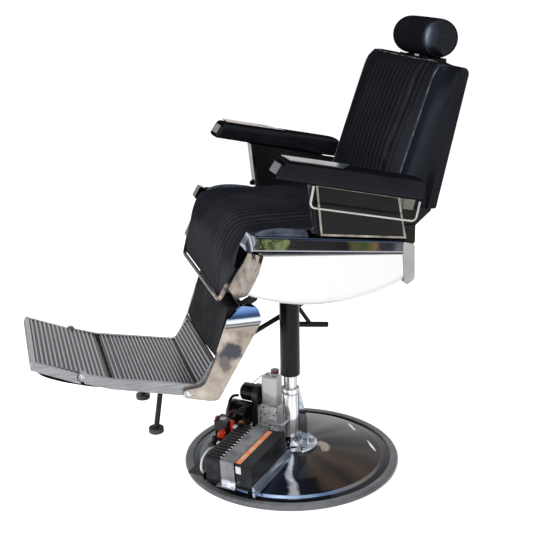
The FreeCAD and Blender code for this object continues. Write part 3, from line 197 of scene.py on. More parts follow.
def ring_normals(rings, directions):
    """Outward unit vectors in each ring's own plane: tangent crossed with the ring's direction."""
    tangent = np.roll(rings, -1, 1) - np.roll(rings, 1, 1)
    normal = np.cross(tangent, directions[:, None, :])
    normal /= np.maximum(np.linalg.norm(normal, axis=-1, keepdims=True), 1e-9)
    after = np.roll(rings, -1, 1)
    area = np.einsum("nki,nki->n", np.cross(rings - rings[:, :1], after - rings[:, :1]),
                     np.repeat(directions[:, None, :], rings.shape[1], 1))
    return normal * np.sign(area)[:, None, None]


def rounded_ends(rings, radius, steps=4):
    """Rings with quarter-round ends added: each end ring moves out by radius sin a and in by
    radius (1 - cos a)."""
    centres = rings.mean(1)
    first = centres[0] - centres[1]
    last = centres[-1] - centres[-2]
    first /= np.linalg.norm(first)
    last /= np.linalg.norm(last)
    angles = np.linspace(0, math.pi / 2, steps + 1)[1:]
    caps = []
    for ring, way in ((rings[0], first), (rings[-1], last)):
        normal = ring_normals(ring[None], -way[None] if way is first else way[None])[0]
        outward = np.sign(np.einsum("ij,ij->i", ring - ring.mean(0), normal).sum())
        caps.append([ring - normal * outward * radius * (1 - math.cos(a)) + way * radius * math.sin(a)
                     for a in angles])
    return np.concatenate([np.array(caps[0][::-1]), rings, np.array(caps[1])])


def closed_solid(rings):
    """(points, faces) of a stack of rings, closed by one face at each end and turned outwards."""
    rows, cols = rings.shape[:2]
    faces = grid_faces(rows, cols, wrap_cols=True).tolist()
    faces.append(list(range(cols))[::-1])
    faces.append([(rows - 1) * cols + k for k in range(cols)])
    points = rings.reshape(-1, 3)
    return points, outward(points, faces)


def lathe(profile, sides, axis="Z", centre=(0.0, 0.0, 0.0)):
    """Surface turned about an axis from (radius, height) points: x = r cos a, y = r sin a, z = h.
    A profile whose first and last points are the same is a ring section."""
    profile = np.asarray(profile, float)
    looped = np.allclose(profile[0], profile[-1])
    if looped:
        profile = profile[:-1]
    angle = round_angles(sides)
    r, h = profile[:, 0][:, None], profile[:, 1][:, None]
    flat = np.stack([r * np.cos(angle), r * np.sin(angle), np.broadcast_to(h, (len(profile), sides))], -1)
    if axis == "X":
        flat = flat[..., [2, 0, 1]]
    points = flat.reshape(-1, 3) + np.array(centre)
    faces = grid_faces(len(profile), sides, wrap_rows=looped, wrap_cols=True).tolist()
    if not looped:
        faces.append(list(range(sides))[::-1])
        faces.append([(len(profile) - 1) * sides + k for k in range(sides)])
    return points, outward(points, faces)


def round_angles(count):
    return np.linspace(0, 2 * math.pi, count, endpoint=False)


def circles(path, radius, side_a, side_b, count):
    """Rings of count points round the path's points, each spanned by its two side vectors."""
    angle = round_angles(count)[None, :, None]
    return path[:, None] + radius * (np.cos(angle) * side_a[:, None] + np.sin(angle) * side_b[:, None])


def tube(path, radius, sides):
    """(points, faces) of a round tube along a path: each ring is spanned by two vectors square to the
    tangent."""
    tangent = np.gradient(path, axis=0)
    tangent /= np.linalg.norm(tangent, axis=1, keepdims=True)
    seed = np.array([0.0, 0.0, 1.0]) if abs(tangent[0][2]) < 0.9 else np.array([0.0, 1.0, 0.0])
    side_a = np.zeros_like(path)
    for k in range(len(path)):
        seed = seed - tangent[k] * seed.dot(tangent[k])
        seed = seed / np.linalg.norm(seed)
        side_a[k] = seed
    return closed_solid(circles(path, radius, side_a, np.cross(tangent, side_a), sides))


def closed_tube(loop, radius, sides):
    """Tube round a closed loop: each ring is spanned by the way out from the loop's middle and its normal."""
    out = loop - loop.mean(0)
    out /= np.linalg.norm(out, axis=1, keepdims=True)
    side = np.cross(out, np.roll(loop, -1, 0) - np.roll(loop, 1, 0))
    side /= np.linalg.norm(side, axis=1, keepdims=True)
    rings = circles(loop, radius, out, side, sides)
    return rings.reshape(-1, 3), grid_faces(len(loop), sides, True, True).tolist()


def vertex_normals(points, faces):
    """Unit vertex normals: the sum of the area vectors of the faces round each vertex."""
    normals = np.zeros_like(points)
    for size in sorted({len(f) for f in faces}):
        group = np.array([f for f in faces if len(f) == size])
        p = points[group]
        area = np.cross(p, np.roll(p, -1, 1)).sum(1)
        for k in range(size):
            np.add.at(normals, group[:, k], area)
    return normals / np.maximum(np.linalg.norm(normals, axis=1, keepdims=True), 1e-12)


def evened(values, faces):
    """Values per point evened out: each round gives a point the mean of its faces' means."""
    quads = np.array([f for f in faces if len(f) == 4])
    uses = np.maximum(np.bincount(quads.ravel(), minlength=len(values)), 1)[:, None]
    for _ in range(EVEN_ROUNDS):
        middle = values[quads].mean(1)
        total = np.zeros_like(values)
        for corner in range(4):
            np.add.at(total, quads[:, corner], middle)
        values = total / uses
    return values


def filled(points, faces, cap, held=1.0):
    """Points after a short cloth run with pressure inside and no gravity, the moves evened out and each of
    cap at most. held is the share of the move that each point keeps."""
    if cap <= 0:
        return points
    obj = linked("filling", points, faces)
    cloth = modified(obj, "CLOTH")
    cloth.settings.use_pressure = True
    cloth.settings.uniform_pressure_force = CLOTH_PRESSURE
    cloth.settings.effector_weights.gravity = 0.0
    cloth.settings.quality = 4
    scene = bpy.context.scene
    for number in range(1, CLOTH_FRAMES + 1):
        scene.frame_set(number)
    shape = obj.evaluated_get(bpy.context.evaluated_depsgraph_get()).to_mesh()
    moved = np.empty(len(shape.vertices) * 3)
    shape.vertices.foreach_get("co", moved)
    moved = moved.reshape(-1, 3) / MM
    bpy.data.objects.remove(obj)
    scene.frame_set(1)
    step = evened(moved - points, faces)
    step *= np.minimum(1.0, cap / np.maximum(np.linalg.norm(step, axis=1, keepdims=True), 1e-9))
    return points + step * np.broadcast_to(held, len(points))[:, None]


# Material building

def node_group(name, inputs, output):
    """Shader group with named number inputs and one number output, and its two end nodes."""
    tree = bpy.data.node_groups.new(name, "ShaderNodeTree")
    for label, default in inputs.items():
        socket = tree.interface.new_socket(label, in_out="INPUT", socket_type="NodeSocketFloat")
        socket.default_value = default
    tree.interface.new_socket(output, in_out="OUTPUT", socket_type="NodeSocketFloat")
    return tree, tree.nodes.new("NodeGroupInput"), tree.nodes.new("NodeGroupOutput")


def add(tree, kind, values=None, **settings):
    """Adds a node, with its settings and its inputs' values or links."""
    node = tree.nodes.new(kind)
    for key, value in settings.items():
        setattr(node, key, value)
    for key, value in (values or {}).items():
        if isinstance(value, bpy.types.NodeSocket):
            tree.links.new(value, node.inputs[key])
        else:
            node.inputs[key].default_value = value
    return node


def colour_steps(tree, factor, stops):
    """Colour ramp over stops of position, red, green and blue, in rising order."""
    node = add(tree, "ShaderNodeValToRGB", {"Fac": factor})
    elements = node.color_ramp.elements
    for position, *colour in (stops[0], stops[-1], *stops[1:-1]):
        index = {stops[0][0]: 0, stops[-1][0]: 1}.get(position)
        element = elements.new(position) if index is None else elements[index]
        element.position = position
        element.color = (*colour, 1.0)
    return node.outputs["Color"]


def mixed(tree, factor, low, high):
    """Colour between low and high."""
    node = add(tree, "ShaderNodeMix", {"Factor": factor}, data_type="RGBA")
    for key, value in ((6, low), (7, high)):
        if isinstance(value, bpy.types.NodeSocket):
            tree.links.new(value, node.inputs[key])
        else:
            node.inputs[key].default_value = (*value, 1.0)
    return node.outputs[2]


def between_values(tree, factor, low, high):
    """Value moved from 0..1 to low..high."""
    node = add(tree, "ShaderNodeMapRange", {"Value": factor, "To Min": low, "To Max": high})
    return node.outputs["Result"]


def rise(tree, value, low, high):
    """Soft step: 0 below low and 1 above high, or the other way round where low is the larger."""
    node = add(tree, "ShaderNodeMapRange", {"Value": value, "From Min": low, "From Max": high},
               interpolation_type="SMOOTHSTEP")
    return node.outputs["Result"]


def maths(tree, operation, *values):
    """Result of a maths node over values or links."""
    return add(tree, "ShaderNodeMath", dict(enumerate(values)), operation=operation).outputs[0]


def vector_maths(tree, operation, *values, output="Vector"):
    """Result of a vector maths node over values or links."""
    return add(tree, "ShaderNodeVectorMath", dict(enumerate(values)), operation=operation).outputs[output]


def object_place(tree):
    return add(tree, "ShaderNodeTexCoord").outputs["Object"]


def noise(tree, scale, detail, place=None, **more):
    """Noise from about 0.2 to 0.8 over object coordinates, or over the place given."""
    place = object_place(tree) if place is None else place
    values = {"Vector": place, "Scale": scale, "Detail": detail, **more}
    return add(tree, "ShaderNodeTexNoise", values).outputs["Fac"]


def round_share(tree):
    """Share of a full turn about the Z axis."""
    place = object_place(tree)
    return add(tree, "ShaderNodeTexGradient", {"Vector": place}, gradient_type="RADIAL").outputs["Fac"]


def side_reach(tree):
    """Distance from the chair's middle plane, in metres."""
    return maths(tree, "ABSOLUTE", add(tree, "ShaderNodeSeparateXYZ", {0: object_place(tree)}).outputs["X"])


def along(tree, start, end):
    """Share of the way from start to end, both in millimetres: the point's offset dotted with the run."""
    start, end = np.array(start, float) * MM, np.array(end, float) * MM
    run = (end - start) / (end - start).dot(end - start)
    dot = vector_maths(tree, "DOT_PRODUCT", object_place(tree), run, output="Value")
    return maths(tree, "ADD", dot, -float(run.dot(start)))


def on_left(tree):
    """0 on the chair's right and 1 on its left."""
    return rise(tree, along(tree, (-10, 0, 0), (10, 0, 0)), 0.0, 1.0)


def wavered(tree, value, scale, amount, stretch=(1.0, 1.0, 1.0)):
    """The value moved up and down by noise, drawn out along an axis with a small stretch."""
    drawn = vector_maths(tree, "MULTIPLY", object_place(tree), stretch)
    centred = maths(tree, "SUBTRACT", noise(tree, scale, 4.0, drawn), 0.5)
    return maths(tree, "MULTIPLY_ADD", centred, amount * 2, value)


def blot(tree, centre, reach, waver):
    """Soft spot: 1 at the centre and 0 past reach, both per axis in millimetres, with an uneven edge."""
    centre, reach = np.array(centre, float) * MM, np.array(reach, float) * MM
    scaled = vector_maths(tree, "DIVIDE", vector_maths(tree, "SUBTRACT", object_place(tree), centre), reach)
    distance = vector_maths(tree, "LENGTH", scaled, output="Value")
    return rise(tree, wavered(tree, distance, 38.0, waver), 1.0, 0.55)


def grain_group():
    """Fine leather grain: small cells over broad folds. Puts out a height."""
    tree, start, end = node_group("Leather grain", {"Scale": 900.0}, "Height")
    cells = add(tree, "ShaderNodeTexVoronoi", {"Vector": object_place(tree), "Scale": start.outputs["Scale"]},
                feature="DISTANCE_TO_EDGE")
    folds = noise(tree, 34.0, 5.0, Distortion=0.6)
    height = maths(tree, "ADD", maths(tree, "MULTIPLY", cells.outputs["Distance"], 2.2),
                   maths(tree, "MULTIPLY", folds, 0.9))
    tree.links.new(height, end.inputs["Height"])
    return tree


def wear_group():
    """Uneven wear: broad patches broken up by fine specks. Puts out a mask from 0 to 1."""
    tree, start, end = node_group("Uneven wear", {"Scale": 9.0, "Start": 0.45, "End": 0.75}, "Mask")
    patches = noise(tree, start.outputs["Scale"], 6.0, Roughness=0.62)
    blend = maths(tree, "MULTIPLY_ADD", noise(tree, 240.0, 2.0), 0.18, patches)
    less = maths(tree, "SUBTRACT", blend, 0.09)
    mask = add(tree, "ShaderNodeMapRange", {"Value": less, "From Min": start.outputs["Start"],
                                            "From Max": start.outputs["End"]})
    tree.links.new(mask.outputs["Result"], end.inputs["Mask"])
    return tree


def brushing_group():
    """Fine lines of brushed metal or of scuffs, drawn out along one axis by the stretch of each axis."""
    axes = {"Along X": 8.0, "Along Y": 300.0, "Along Z": 300.0}
    tree, start, end = node_group("Brushed lines", axes, "Lines")
    scales = add(tree, "ShaderNodeCombineXYZ", {axis[-1]: start.outputs[axis] for axis in axes})
    drawn = vector_maths(tree, "MULTIPLY", object_place(tree), scales.outputs[0])
    tree.links.new(noise(tree, 1.0, 3.0, drawn), end.inputs["Lines"])
    return tree


def use_group(tree, name, *values):
    """Outputs of a shared shader group, built on its first use, with the values of its inputs."""
    makers = {"Leather grain": grain_group, "Uneven wear": wear_group, "Brushed lines": brushing_group}
    node = tree.nodes.new("ShaderNodeGroup")
    node.node_tree = bpy.data.node_groups.get(name) or makers[name]()
    for socket, value in zip(node.inputs, values):
        socket.default_value = value
    return node.outputs[0]


def finish_material(name, **sockets):
    """(material, tree, shader) with the shader's even values set straight on its sockets."""
    material = bpy.data.materials.new(name)
    material.use_nodes = True
    tree = material.node_tree
    shader = tree.nodes["Principled BSDF"]
    for key, value in sockets.items():
        value = (*value, 1.0) if isinstance(value, tuple) else value
        shader.inputs[key.replace("_", " ")].default_value = value
    return material, tree, shader


def feed(tree, shader, **sockets):
    """Links results to the shader's sockets."""
    for key, value in sockets.items():
        tree.links.new(value, shader.inputs[key.replace("_", " ")])


def bumped(tree, shader, height, strength, distance):
    """Feeds a height to the shader's normal."""
    bump = add(tree, "ShaderNodeBump", {"Height": height, "Strength": strength, "Distance": distance})
    feed(tree, shader, Normal=bump.outputs["Normal"])


def varied(name, colour, wear_and_sheen, roughness, wear=(9.0, 0.45, 0.75), bump=None, lines=None, **sockets):
    """Finish that goes from its colour to a second colour over uneven patches of wear, with roughness to
    match, fine bump (scale, strength) and brushed lines (along x, y, z, strength) where given."""
    material, tree, shader = finish_material(name, **sockets)
    mask = use_group(tree, "Uneven wear", *wear)
    feed(tree, shader, Base_Color=mixed(tree, mask, colour, wear_and_sheen),
         Roughness=between_values(tree, mask, *roughness))
    if lines:
        bumped(tree, shader, use_group(tree, "Brushed lines", *lines[:3]), lines[3], 0.0004)
    elif bump:
        bumped(tree, shader, noise(tree, bump[0], 3.0), bump[1], 0.0006)
    return material


def vinyl_material(name, colour, wear_and_sheen, wear, roughness=(0.3, 0.46), gloss=0.06, coat=0.13, lit=(),
                   tone=None):
    """Grained upholstery vinyl, duller and paler over uneven patches, which are wear on most vinyls and
    painted highlights on the roll and the piping, with painted shade down in its sewn grooves, and matt where
    it is seen along its face. lit lists painted highlights and paler patches: centre, reach and colour.
    tone(tree, colour) changes the colour by place."""
    material, tree, shader = finish_material(name, Specular_Tint=(0.62, 0.76, 1.0), Coat_Roughness=0.16,
                                             Coat_Tint=(0.8, 0.88, 1.0))
    mask = use_group(tree, "Uneven wear", *wear)
    groove = add(tree, "ShaderNodeAttribute", attribute_name="groove").outputs["Fac"]
    face = mixed(tree, mask, colour, wear_and_sheen)
    # painted highlights and paler patches, one per entry of lit
    for centre, reach, pale in lit:
        face = mixed(tree, blot(tree, centre, reach, 0.18), face, pale)
    face = tone(tree, face) if tone else face
    facing = add(tree, "ShaderNodeLayerWeight", {"Blend": 0.5}).outputs["Facing"]
    square = maths(tree, "MULTIPLY", rise(tree, facing, 0.56, 0.18), between_values(tree, groove, 1.0, 0.0))
    # painted shade: the colour goes near-black down in the sewn grooves
    feed(tree, shader, Base_Color=mixed(tree, groove, face, (0.0024, 0.0025, 0.0032)),
         Roughness=between_values(tree, mask, *roughness),
         Specular_IOR_Level=between_values(tree, square, 0.0, gloss),
         Coat_Weight=between_values(tree, square, 0.0, coat))
    bumped(tree, shader, use_group(tree, "Leather grain", 700.0), 0.14, 0.0006)
    return material


def back_side_highlight(tree, face):
    """A painted highlight: a paler band down both sides of the back, just behind the front edge."""
    behind = wavered(tree, along(tree, (0, 199, 779), (0, 236.8, 766)), 14.0, 0.2)
    band = maths(tree, "MULTIPLY", rise(tree, side_reach(tree), 0.221, 0.229), rise(tree, behind, 1.5, 0.3))
    return mixed(tree, band, face, (0.021, 0.026, 0.037))


def mirror_metal(name, colour_of, roughness=(0.05, 0.16), metallic=1.0, specular=0.5):
    """Polished metal with painted reflections: colour_of(tree) gives the colour, its surroundings painted
    into it in soft patches. colour_of(tree) gives the colour.
    """
    material, tree, shader = finish_material(name, Metallic=metallic, Specular_IOR_Level=specular)
    mask = use_group(tree, "Uneven wear", 14.0, 0.45, 0.8)
    feed(tree, shader, Base_Color=colour_of(tree), Roughness=between_values(tree, mask, *roughness))
    return material


def dome_painted_reflections(tree):
    """Painted reflections: dark and brown rays that fan out from the column over the angle round it, a
    painted highlight line along the step, a beige painted smear, two painted glints and painted dark outside
    the step.
    """
    angle = round_share(tree)
    fan = wavered(tree, angle, 9.0, 0.028)
    reflected_streaks = colour_steps(tree, fan, [
        (0.0, 0.1, 0.1, 0.1), (0.3, 0.05, 0.055, 0.07), (0.385, 0.03, 0.04, 0.066),
        (0.447, 0.018, 0.023, 0.042), (0.452, 0.85, 0.88, 0.94), (0.462, 0.85, 0.88, 0.94),
        (0.468, 0.02, 0.025, 0.045), (0.5, 0.016, 0.015, 0.017), (0.53, 0.046, 0.027, 0.019),
        (0.56, 0.012, 0.01, 0.01), (0.6, 0.052, 0.029, 0.019), (0.64, 0.018, 0.014, 0.012),
        (0.68, 0.034, 0.025, 0.021), (0.705, 0.004, 0.004, 0.005), (0.745, 0.01, 0.009, 0.009),
        (0.785, 0.06, 0.056, 0.053), (0.81, 0.025, 0.023, 0.023), (0.85, 0.11, 0.105, 0.1),
        (0.9, 0.05, 0.05, 0.055), (1.0, 0.1, 0.1, 0.1)])
    spread = vector_maths(tree, "MULTIPLY", object_place(tree), (1.0, 1.0, 0.0))
    radius = vector_maths(tree, "LENGTH", spread, output="Value")
    line = maths(tree, "MULTIPLY", rise(tree, radius, 0.2572, 0.2592), rise(tree, radius, 0.2655, 0.2625))
    # painted highlight: a bright blue-white line along the step, brightest at the front
    lit = colour_steps(tree, wavered(tree, angle, 20.0, 0.02), [
        (0.34, 0.08, 0.13, 0.25), (0.39, 0.24, 0.36, 0.58), (0.43, 0.55, 0.7, 0.95), (0.5, 0.1, 0.17, 0.34),
        (0.56, 0.2, 0.19, 0.19), (0.64, 0.11, 0.1, 0.1), (0.72, 0.04, 0.04, 0.045)])
    # painted reflection: a beige smear beside the column
    reflections_with_glints = mixed(tree, blot(tree, (44, 84, 41), (40, 17, 30), 0.9), reflected_streaks, (0.3, 0.26, 0.21))
    # two painted glints: small upright white highlights
    for spot in ((-79, 215, 28), (49, 227, 26)):
        reflections_with_glints = mixed(tree, blot(tree, spot, (42, 5, 30), 0.5), reflections_with_glints, (0.75, 0.75, 0.75))
    # painted dark reflection outside the step
    with_painted_dark_rim = mixed(tree, rise(tree, radius, 0.263, 0.268), reflections_with_glints, (0.016, 0.018, 0.025))
    return mixed(tree, line, with_painted_dark_rim, lit)


def column_painted_reflections(tree):
    """Painted reflections: upright light and dark lines round the column."""
    angle = round_share(tree)
    lines = wavered(tree, angle, 60.0, 0.1, (1.0, 1.0, 0.1))
    return colour_steps(tree, lines, [
        (0.18, 0.1, 0.1, 0.11), (0.25, 0.52, 0.53, 0.55), (0.29, 0.16, 0.16, 0.17), (0.335, 0.8, 0.81, 0.83),
        (0.38, 0.3, 0.3, 0.31), (0.42, 0.88, 0.89, 0.9), (0.46, 0.62, 0.63, 0.65), (0.5, 0.95, 0.95, 0.96),
        (0.55, 0.36, 0.37, 0.39), (0.6, 0.74, 0.75, 0.77), (0.66, 0.22, 0.23, 0.25),
        (0.74, 0.14, 0.16, 0.19)])


def flange_painted_reflections(tree):
    """Painted reflections: broad blue-grey and white patches."""
    angle = round_share(tree)
    return colour_steps(tree, wavered(tree, angle, 34.0, 0.12), [
        (0.2, 0.1, 0.12, 0.16), (0.34, 0.42, 0.46, 0.52), (0.4, 0.75, 0.78, 0.82), (0.45, 0.3, 0.34, 0.4),
        (0.5, 0.85, 0.88, 0.92), (0.56, 0.22, 0.25, 0.3), (0.68, 0.5, 0.54, 0.6), (0.8, 0.16, 0.19, 0.24)])


def band_painted_reflections(tree):
    """Painted reflections: dark green and brown patches with pale green flecks, a painted blue highlight
    along the top and a pale one along the bottom.
    """
    share = wavered(tree, along(tree, (0, -178, 719), (0, 207, 679)), 30.0, 0.1, (1.0, 1.0, 0.7))
    patches = colour_steps(tree, share, [
        (0.0, 0.06, 0.065, 0.05), (0.05, 0.02, 0.024, 0.012), (0.1, 0.11, 0.14, 0.05),
        (0.14, 0.035, 0.04, 0.02), (0.19, 0.15, 0.19, 0.09), (0.235, 0.018, 0.018, 0.018),
        (0.52, 0.016, 0.015, 0.017), (0.6, 0.012, 0.011, 0.012), (0.66, 0.06, 0.06, 0.025),
        (0.74, 0.035, 0.05, 0.016), (0.8, 0.13, 0.085, 0.05), (0.86, 0.022, 0.022, 0.02),
        (0.94, 0.035, 0.04, 0.06), (1.0, 0.1, 0.1, 0.11)])
    # painted reflection of greenery: small pale green flecks on the front part
    specks = rise(tree, noise(tree, 160.0, 2.0), 0.58, 0.68)
    reflected_foliage = maths(tree, "MULTIPLY", specks, rise(tree, share, 0.3, 0.16))
    with_reflected_foliage = mixed(tree, reflected_foliage, patches, (0.17, 0.2, 0.1))
    under = along(tree, (0, -165, 753), (0, -165.123, 752.008))
    over = along(tree, (0, -178, 719), (0, -177.897, 719.995))
    # painted highlights: a blue line along the top and a pale one along the bottom
    topped = mixed(tree, rise(tree, under, 6.0, 2.0), with_reflected_foliage, (0.045, 0.06, 0.1))
    return mixed(tree, rise(tree, over, 4.0, 1.5), topped, (0.34, 0.34, 0.4))


def cap_painted_reflections(tree):
    """Painted reflections: hard bands of white, blue and black from front to rear, as a small bright corner
    mirrors, and near-black on the right-hand caps.
    """
    share = wavered(tree, along(tree, (0, -204, 735), (0, -163, 742)), 20.0, 0.16)
    near = colour_steps(tree, share, [
        (0.0, 0.1, 0.11, 0.14), (0.1, 0.42, 0.44, 0.48), (0.18, 0.03, 0.04, 0.06),
        (0.34, 0.014, 0.016, 0.026), (0.46, 0.09, 0.1, 0.13), (0.54, 0.5, 0.52, 0.56),
        (0.62, 0.1, 0.11, 0.13), (0.74, 0.32, 0.34, 0.38), (0.86, 0.05, 0.055, 0.07),
        (1.0, 0.02, 0.022, 0.03)])
    # painted dark reflection on the right-hand caps
    return mixed(tree, on_left(tree), (0.008, 0.009, 0.013), near)


def strip_painted_reflections(tree):
    """Painted reflections: pale beige with dark upright marks near its top, and darker at its foot."""
    beige = colour_steps(tree, wavered(tree, 0.5, 46.0, 0.55, (1.0, 1.0, 0.45)), [
        (0.2, 0.09, 0.078, 0.07), (0.4, 0.18, 0.155, 0.135), (0.55, 0.26, 0.23, 0.205),
        (0.85, 0.38, 0.35, 0.325)])
    high = rise(tree, along(tree, (0, 0, 618), (0, 0, 700)), 0.2, 0.8)
    upright = rise(tree, wavered(tree, 0.5, 80.0, 0.5, (1.0, 1.0, 0.3)), 0.56, 0.64)
    marked = mixed(tree, maths(tree, "MULTIPLY", upright, high), beige, (0.02, 0.02, 0.022))
    foot = rise(tree, along(tree, (0, 0, 622), (0, 0, 598)), 0.1, 0.9)
    return mixed(tree, foot, marked, (0.06, 0.055, 0.055))


def trim_painted_reflections(tree):
    """Painted reflections: dark far from the near corner, beige with dark patches at it."""
    side = along(tree, (120, 0, 0), (246, 0, 0))
    beige = colour_steps(tree, wavered(tree, 0.5, 40.0, 0.5), [
        (0.35, 0.05, 0.045, 0.045), (0.5, 0.22, 0.18, 0.15), (0.65, 0.38, 0.32, 0.26)])
    return mixed(tree, rise(tree, side, 0.1, 0.8), (0.012, 0.012, 0.014), beige)


def leg_side_painted_reflections(tree):
    """Painted reflections: beige below with a dark blotch and a greyer one, and a rounded top that goes from
    blue to white over a dark line.
    """
    height = wavered(tree, along(tree, (0, 0, 480), (0, 0, 550)), 18.0, 0.02)
    shoulder = colour_steps(tree, height, [
        (0.0, 0.28, 0.235, 0.19), (0.1, 0.3, 0.26, 0.22), (0.15, 0.03, 0.04, 0.06), (0.21, 0.34, 0.32, 0.3),
        (0.26, 0.04, 0.05, 0.07), (0.33, 0.72, 0.76, 0.82), (0.42, 0.46, 0.53, 0.64),
        (0.48, 0.025, 0.035, 0.07), (0.6, 0.035, 0.07, 0.17), (0.76, 0.11, 0.21, 0.45),
        (0.9, 0.17, 0.28, 0.47), (0.95, 0.05, 0.07, 0.12), (1.0, 0.3, 0.36, 0.44)])
    beige = colour_steps(tree, wavered(tree, noise(tree, 24.0, 5.0), 90.0, 0.06), [
        (0.3, 0.16, 0.135, 0.115), (0.45, 0.28, 0.235, 0.2), (0.6, 0.35, 0.31, 0.275),
        (0.8, 0.5, 0.46, 0.43)])
    dark = mixed(tree, blot(tree, (184, -214, 424), (60, 42, 30), 0.6), beige, (0.062, 0.062, 0.072))
    dark = mixed(tree, blot(tree, (184, -232, 392), (60, 20, 26), 0.7), dark, (0.13, 0.12, 0.12))
    return mixed(tree, rise(tree, along(tree, (0, 0, 476), (0, 0, 484)), 0.0, 1.0), dark, shoulder)


def plate_painted_reflections(tree):
    """Armrest plates, with painted reflections: grey on the left arm, and brown towards the front of the
    right one.
    """
    share = along(tree, (0, -120, 0), (0, 60, 0))
    near = colour_steps(tree, wavered(tree, share, 30.0, 0.1), [
        (0.0, 0.09, 0.09, 0.1), (0.09, 0.05, 0.05, 0.06), (0.18, 0.11, 0.1, 0.1),
        (0.45, 0.055, 0.055, 0.062), (0.8, 0.08, 0.085, 0.105), (1.0, 0.11, 0.125, 0.15)])
    far = colour_steps(tree, wavered(tree, share, 30.0, 0.06), [
        (0.0, 0.08, 0.08, 0.085), (0.07, 0.05, 0.045, 0.045), (0.14, 0.11, 0.055, 0.03),
        (0.5, 0.1, 0.052, 0.032), (0.72, 0.03, 0.022, 0.022), (1.0, 0.012, 0.013, 0.02)])
    return mixed(tree, on_left(tree), far, near)


def casting_painted_reflections(tree):
    """Bright casting with painted reflections and highlights: sharp light and dark facets."""
    cells = add(tree, "ShaderNodeTexVoronoi", {"Vector": object_place(tree), "Scale": 74.0})
    value = maths(tree, "MULTIPLY", cells.outputs["Distance"], 1.3)
    return colour_steps(tree, wavered(tree, value, 110.0, 0.42), [
        (0.1, 0.04, 0.04, 0.045), (0.24, 0.3, 0.31, 0.33), (0.34, 0.92, 0.93, 0.95), (0.52, 0.6, 0.61, 0.63),
        (0.66, 0.92, 0.93, 0.95), (0.95, 0.95, 0.95, 0.96)])


def tread_metal(name, planes):
    """Ribbed casting: painted highlight on the ribs, painted shade between them, and plain on the rails.
    planes are the treads' planes, as (y, z) points and unit directions, and a rib's height is the least of
    the heights over them."""
    material, tree, shader = finish_material(name, Metallic=0.85)
    heights = [along(tree, (0, *point), (0, point[0] + up[0], point[1] + up[1])) for point, up in planes]
    height = heights[0] if len(heights) == 1 else maths(tree, "MINIMUM", *heights)
    patches = noise(tree, 16.0, 5.0)
    # painted shade between the ribs and painted highlight on them
    dark = mixed(tree, patches, (0.012, 0.012, 0.016), (0.052, 0.052, 0.06))
    pale = mixed(tree, patches, (0.2, 0.2, 0.22), (0.44, 0.44, 0.46))
    ribs = mixed(tree, rise(tree, height, 0.9, 2.1), dark, pale)
    drawn = use_group(tree, "Brushed lines", 300.0, 14.0, 300.0)
    rail = mixed(tree, drawn, (0.09, 0.09, 0.1), (0.42, 0.43, 0.45))
    feed(tree, shader, Base_Color=mixed(tree, rise(tree, side_reach(tree), 0.1655, 0.1665), ribs, rail),
         Roughness=between_values(tree, patches, 0.26, 0.44))
    return material


def tray_painted_reflections(tree):
    """Painted reflections: pale blue-grey side bars, streaked along their length, beside a black tray."""
    x, y, _ = PACK_ORIGIN
    left = along(tree, (x, y, 0), (x - 0.6972, y - 0.7169, 0))
    bars = colour_steps(tree, wavered(tree, 0.5, 12.0, 0.6, (1.0, 1.0, 14.0)), [
        (0.2, 0.14, 0.17, 0.23), (0.4, 0.26, 0.31, 0.4), (0.75, 0.42, 0.48, 0.58)])
    return mixed(tree, rise(tree, left, -0.6, 0.4), bars, (0.01, 0.01, 0.012))


def panel_frame_painted_reflections(tree):
    """Painted reflections: pale beige on the frame's outer face and a streaky rim in front; black inside it
    and on the rim's sides.
    """
    side = maths(tree, "ABSOLUTE", along(tree, (0, 0, 0), (1, 0, 0)))
    black = (0.008, 0.008, 0.009)
    beige = colour_steps(tree, wavered(tree, 0.5, 30.0, 0.5), [
        (0.3, 0.16, 0.145, 0.125), (0.7, 0.42, 0.385, 0.34)])
    reflected_streaks = colour_steps(tree, wavered(tree, 0.5, 36.0, 0.6, (1.0, 1.0, 0.4)), [
        (0.3, 0.015, 0.017, 0.025), (0.5, 0.07, 0.075, 0.1), (0.6, 0.2, 0.15, 0.11),
        (0.75, 0.42, 0.42, 0.44)])
    rim = mixed(tree, rise(tree, side, 306.0, 308.0), reflected_streaks, black)
    frame_face = mixed(tree, rise(tree, side, 300.0, 303.0), black, beige)
    behind = along(tree, (0, -22, 872.8), (0, -21.004, 872.893))
    return mixed(tree, rise(tree, behind, -0.4, 0.2), rim, frame_face)


def reservoir_material():
    """Pale translucent-looking plastic, with painted shade: greyer towards its lower end."""
    material, tree, shader = finish_material("Reservoir plastic", Roughness=0.32)
    height = wavered(tree, along(tree, (0, 0, 158), (0, 0, 240)), 22.0, 0.28)
    shade = colour_steps(tree, height, [
        (0.0, 0.3, 0.305, 0.315), (0.3, 0.6, 0.61, 0.63), (0.45, 0.92, 0.93, 0.95), (1.0, 0.95, 0.96, 0.97)])
    feed(tree, shader, Base_Color=shade)
    return material


INNER_TREAD = (((-514.0, 379.0), (0.179, 0.984)), ((-300.0, 340.0), (-0.775, 0.631)))
OUTER_TREAD = (((-705.0, 450.0), (0.356, 0.934)),)

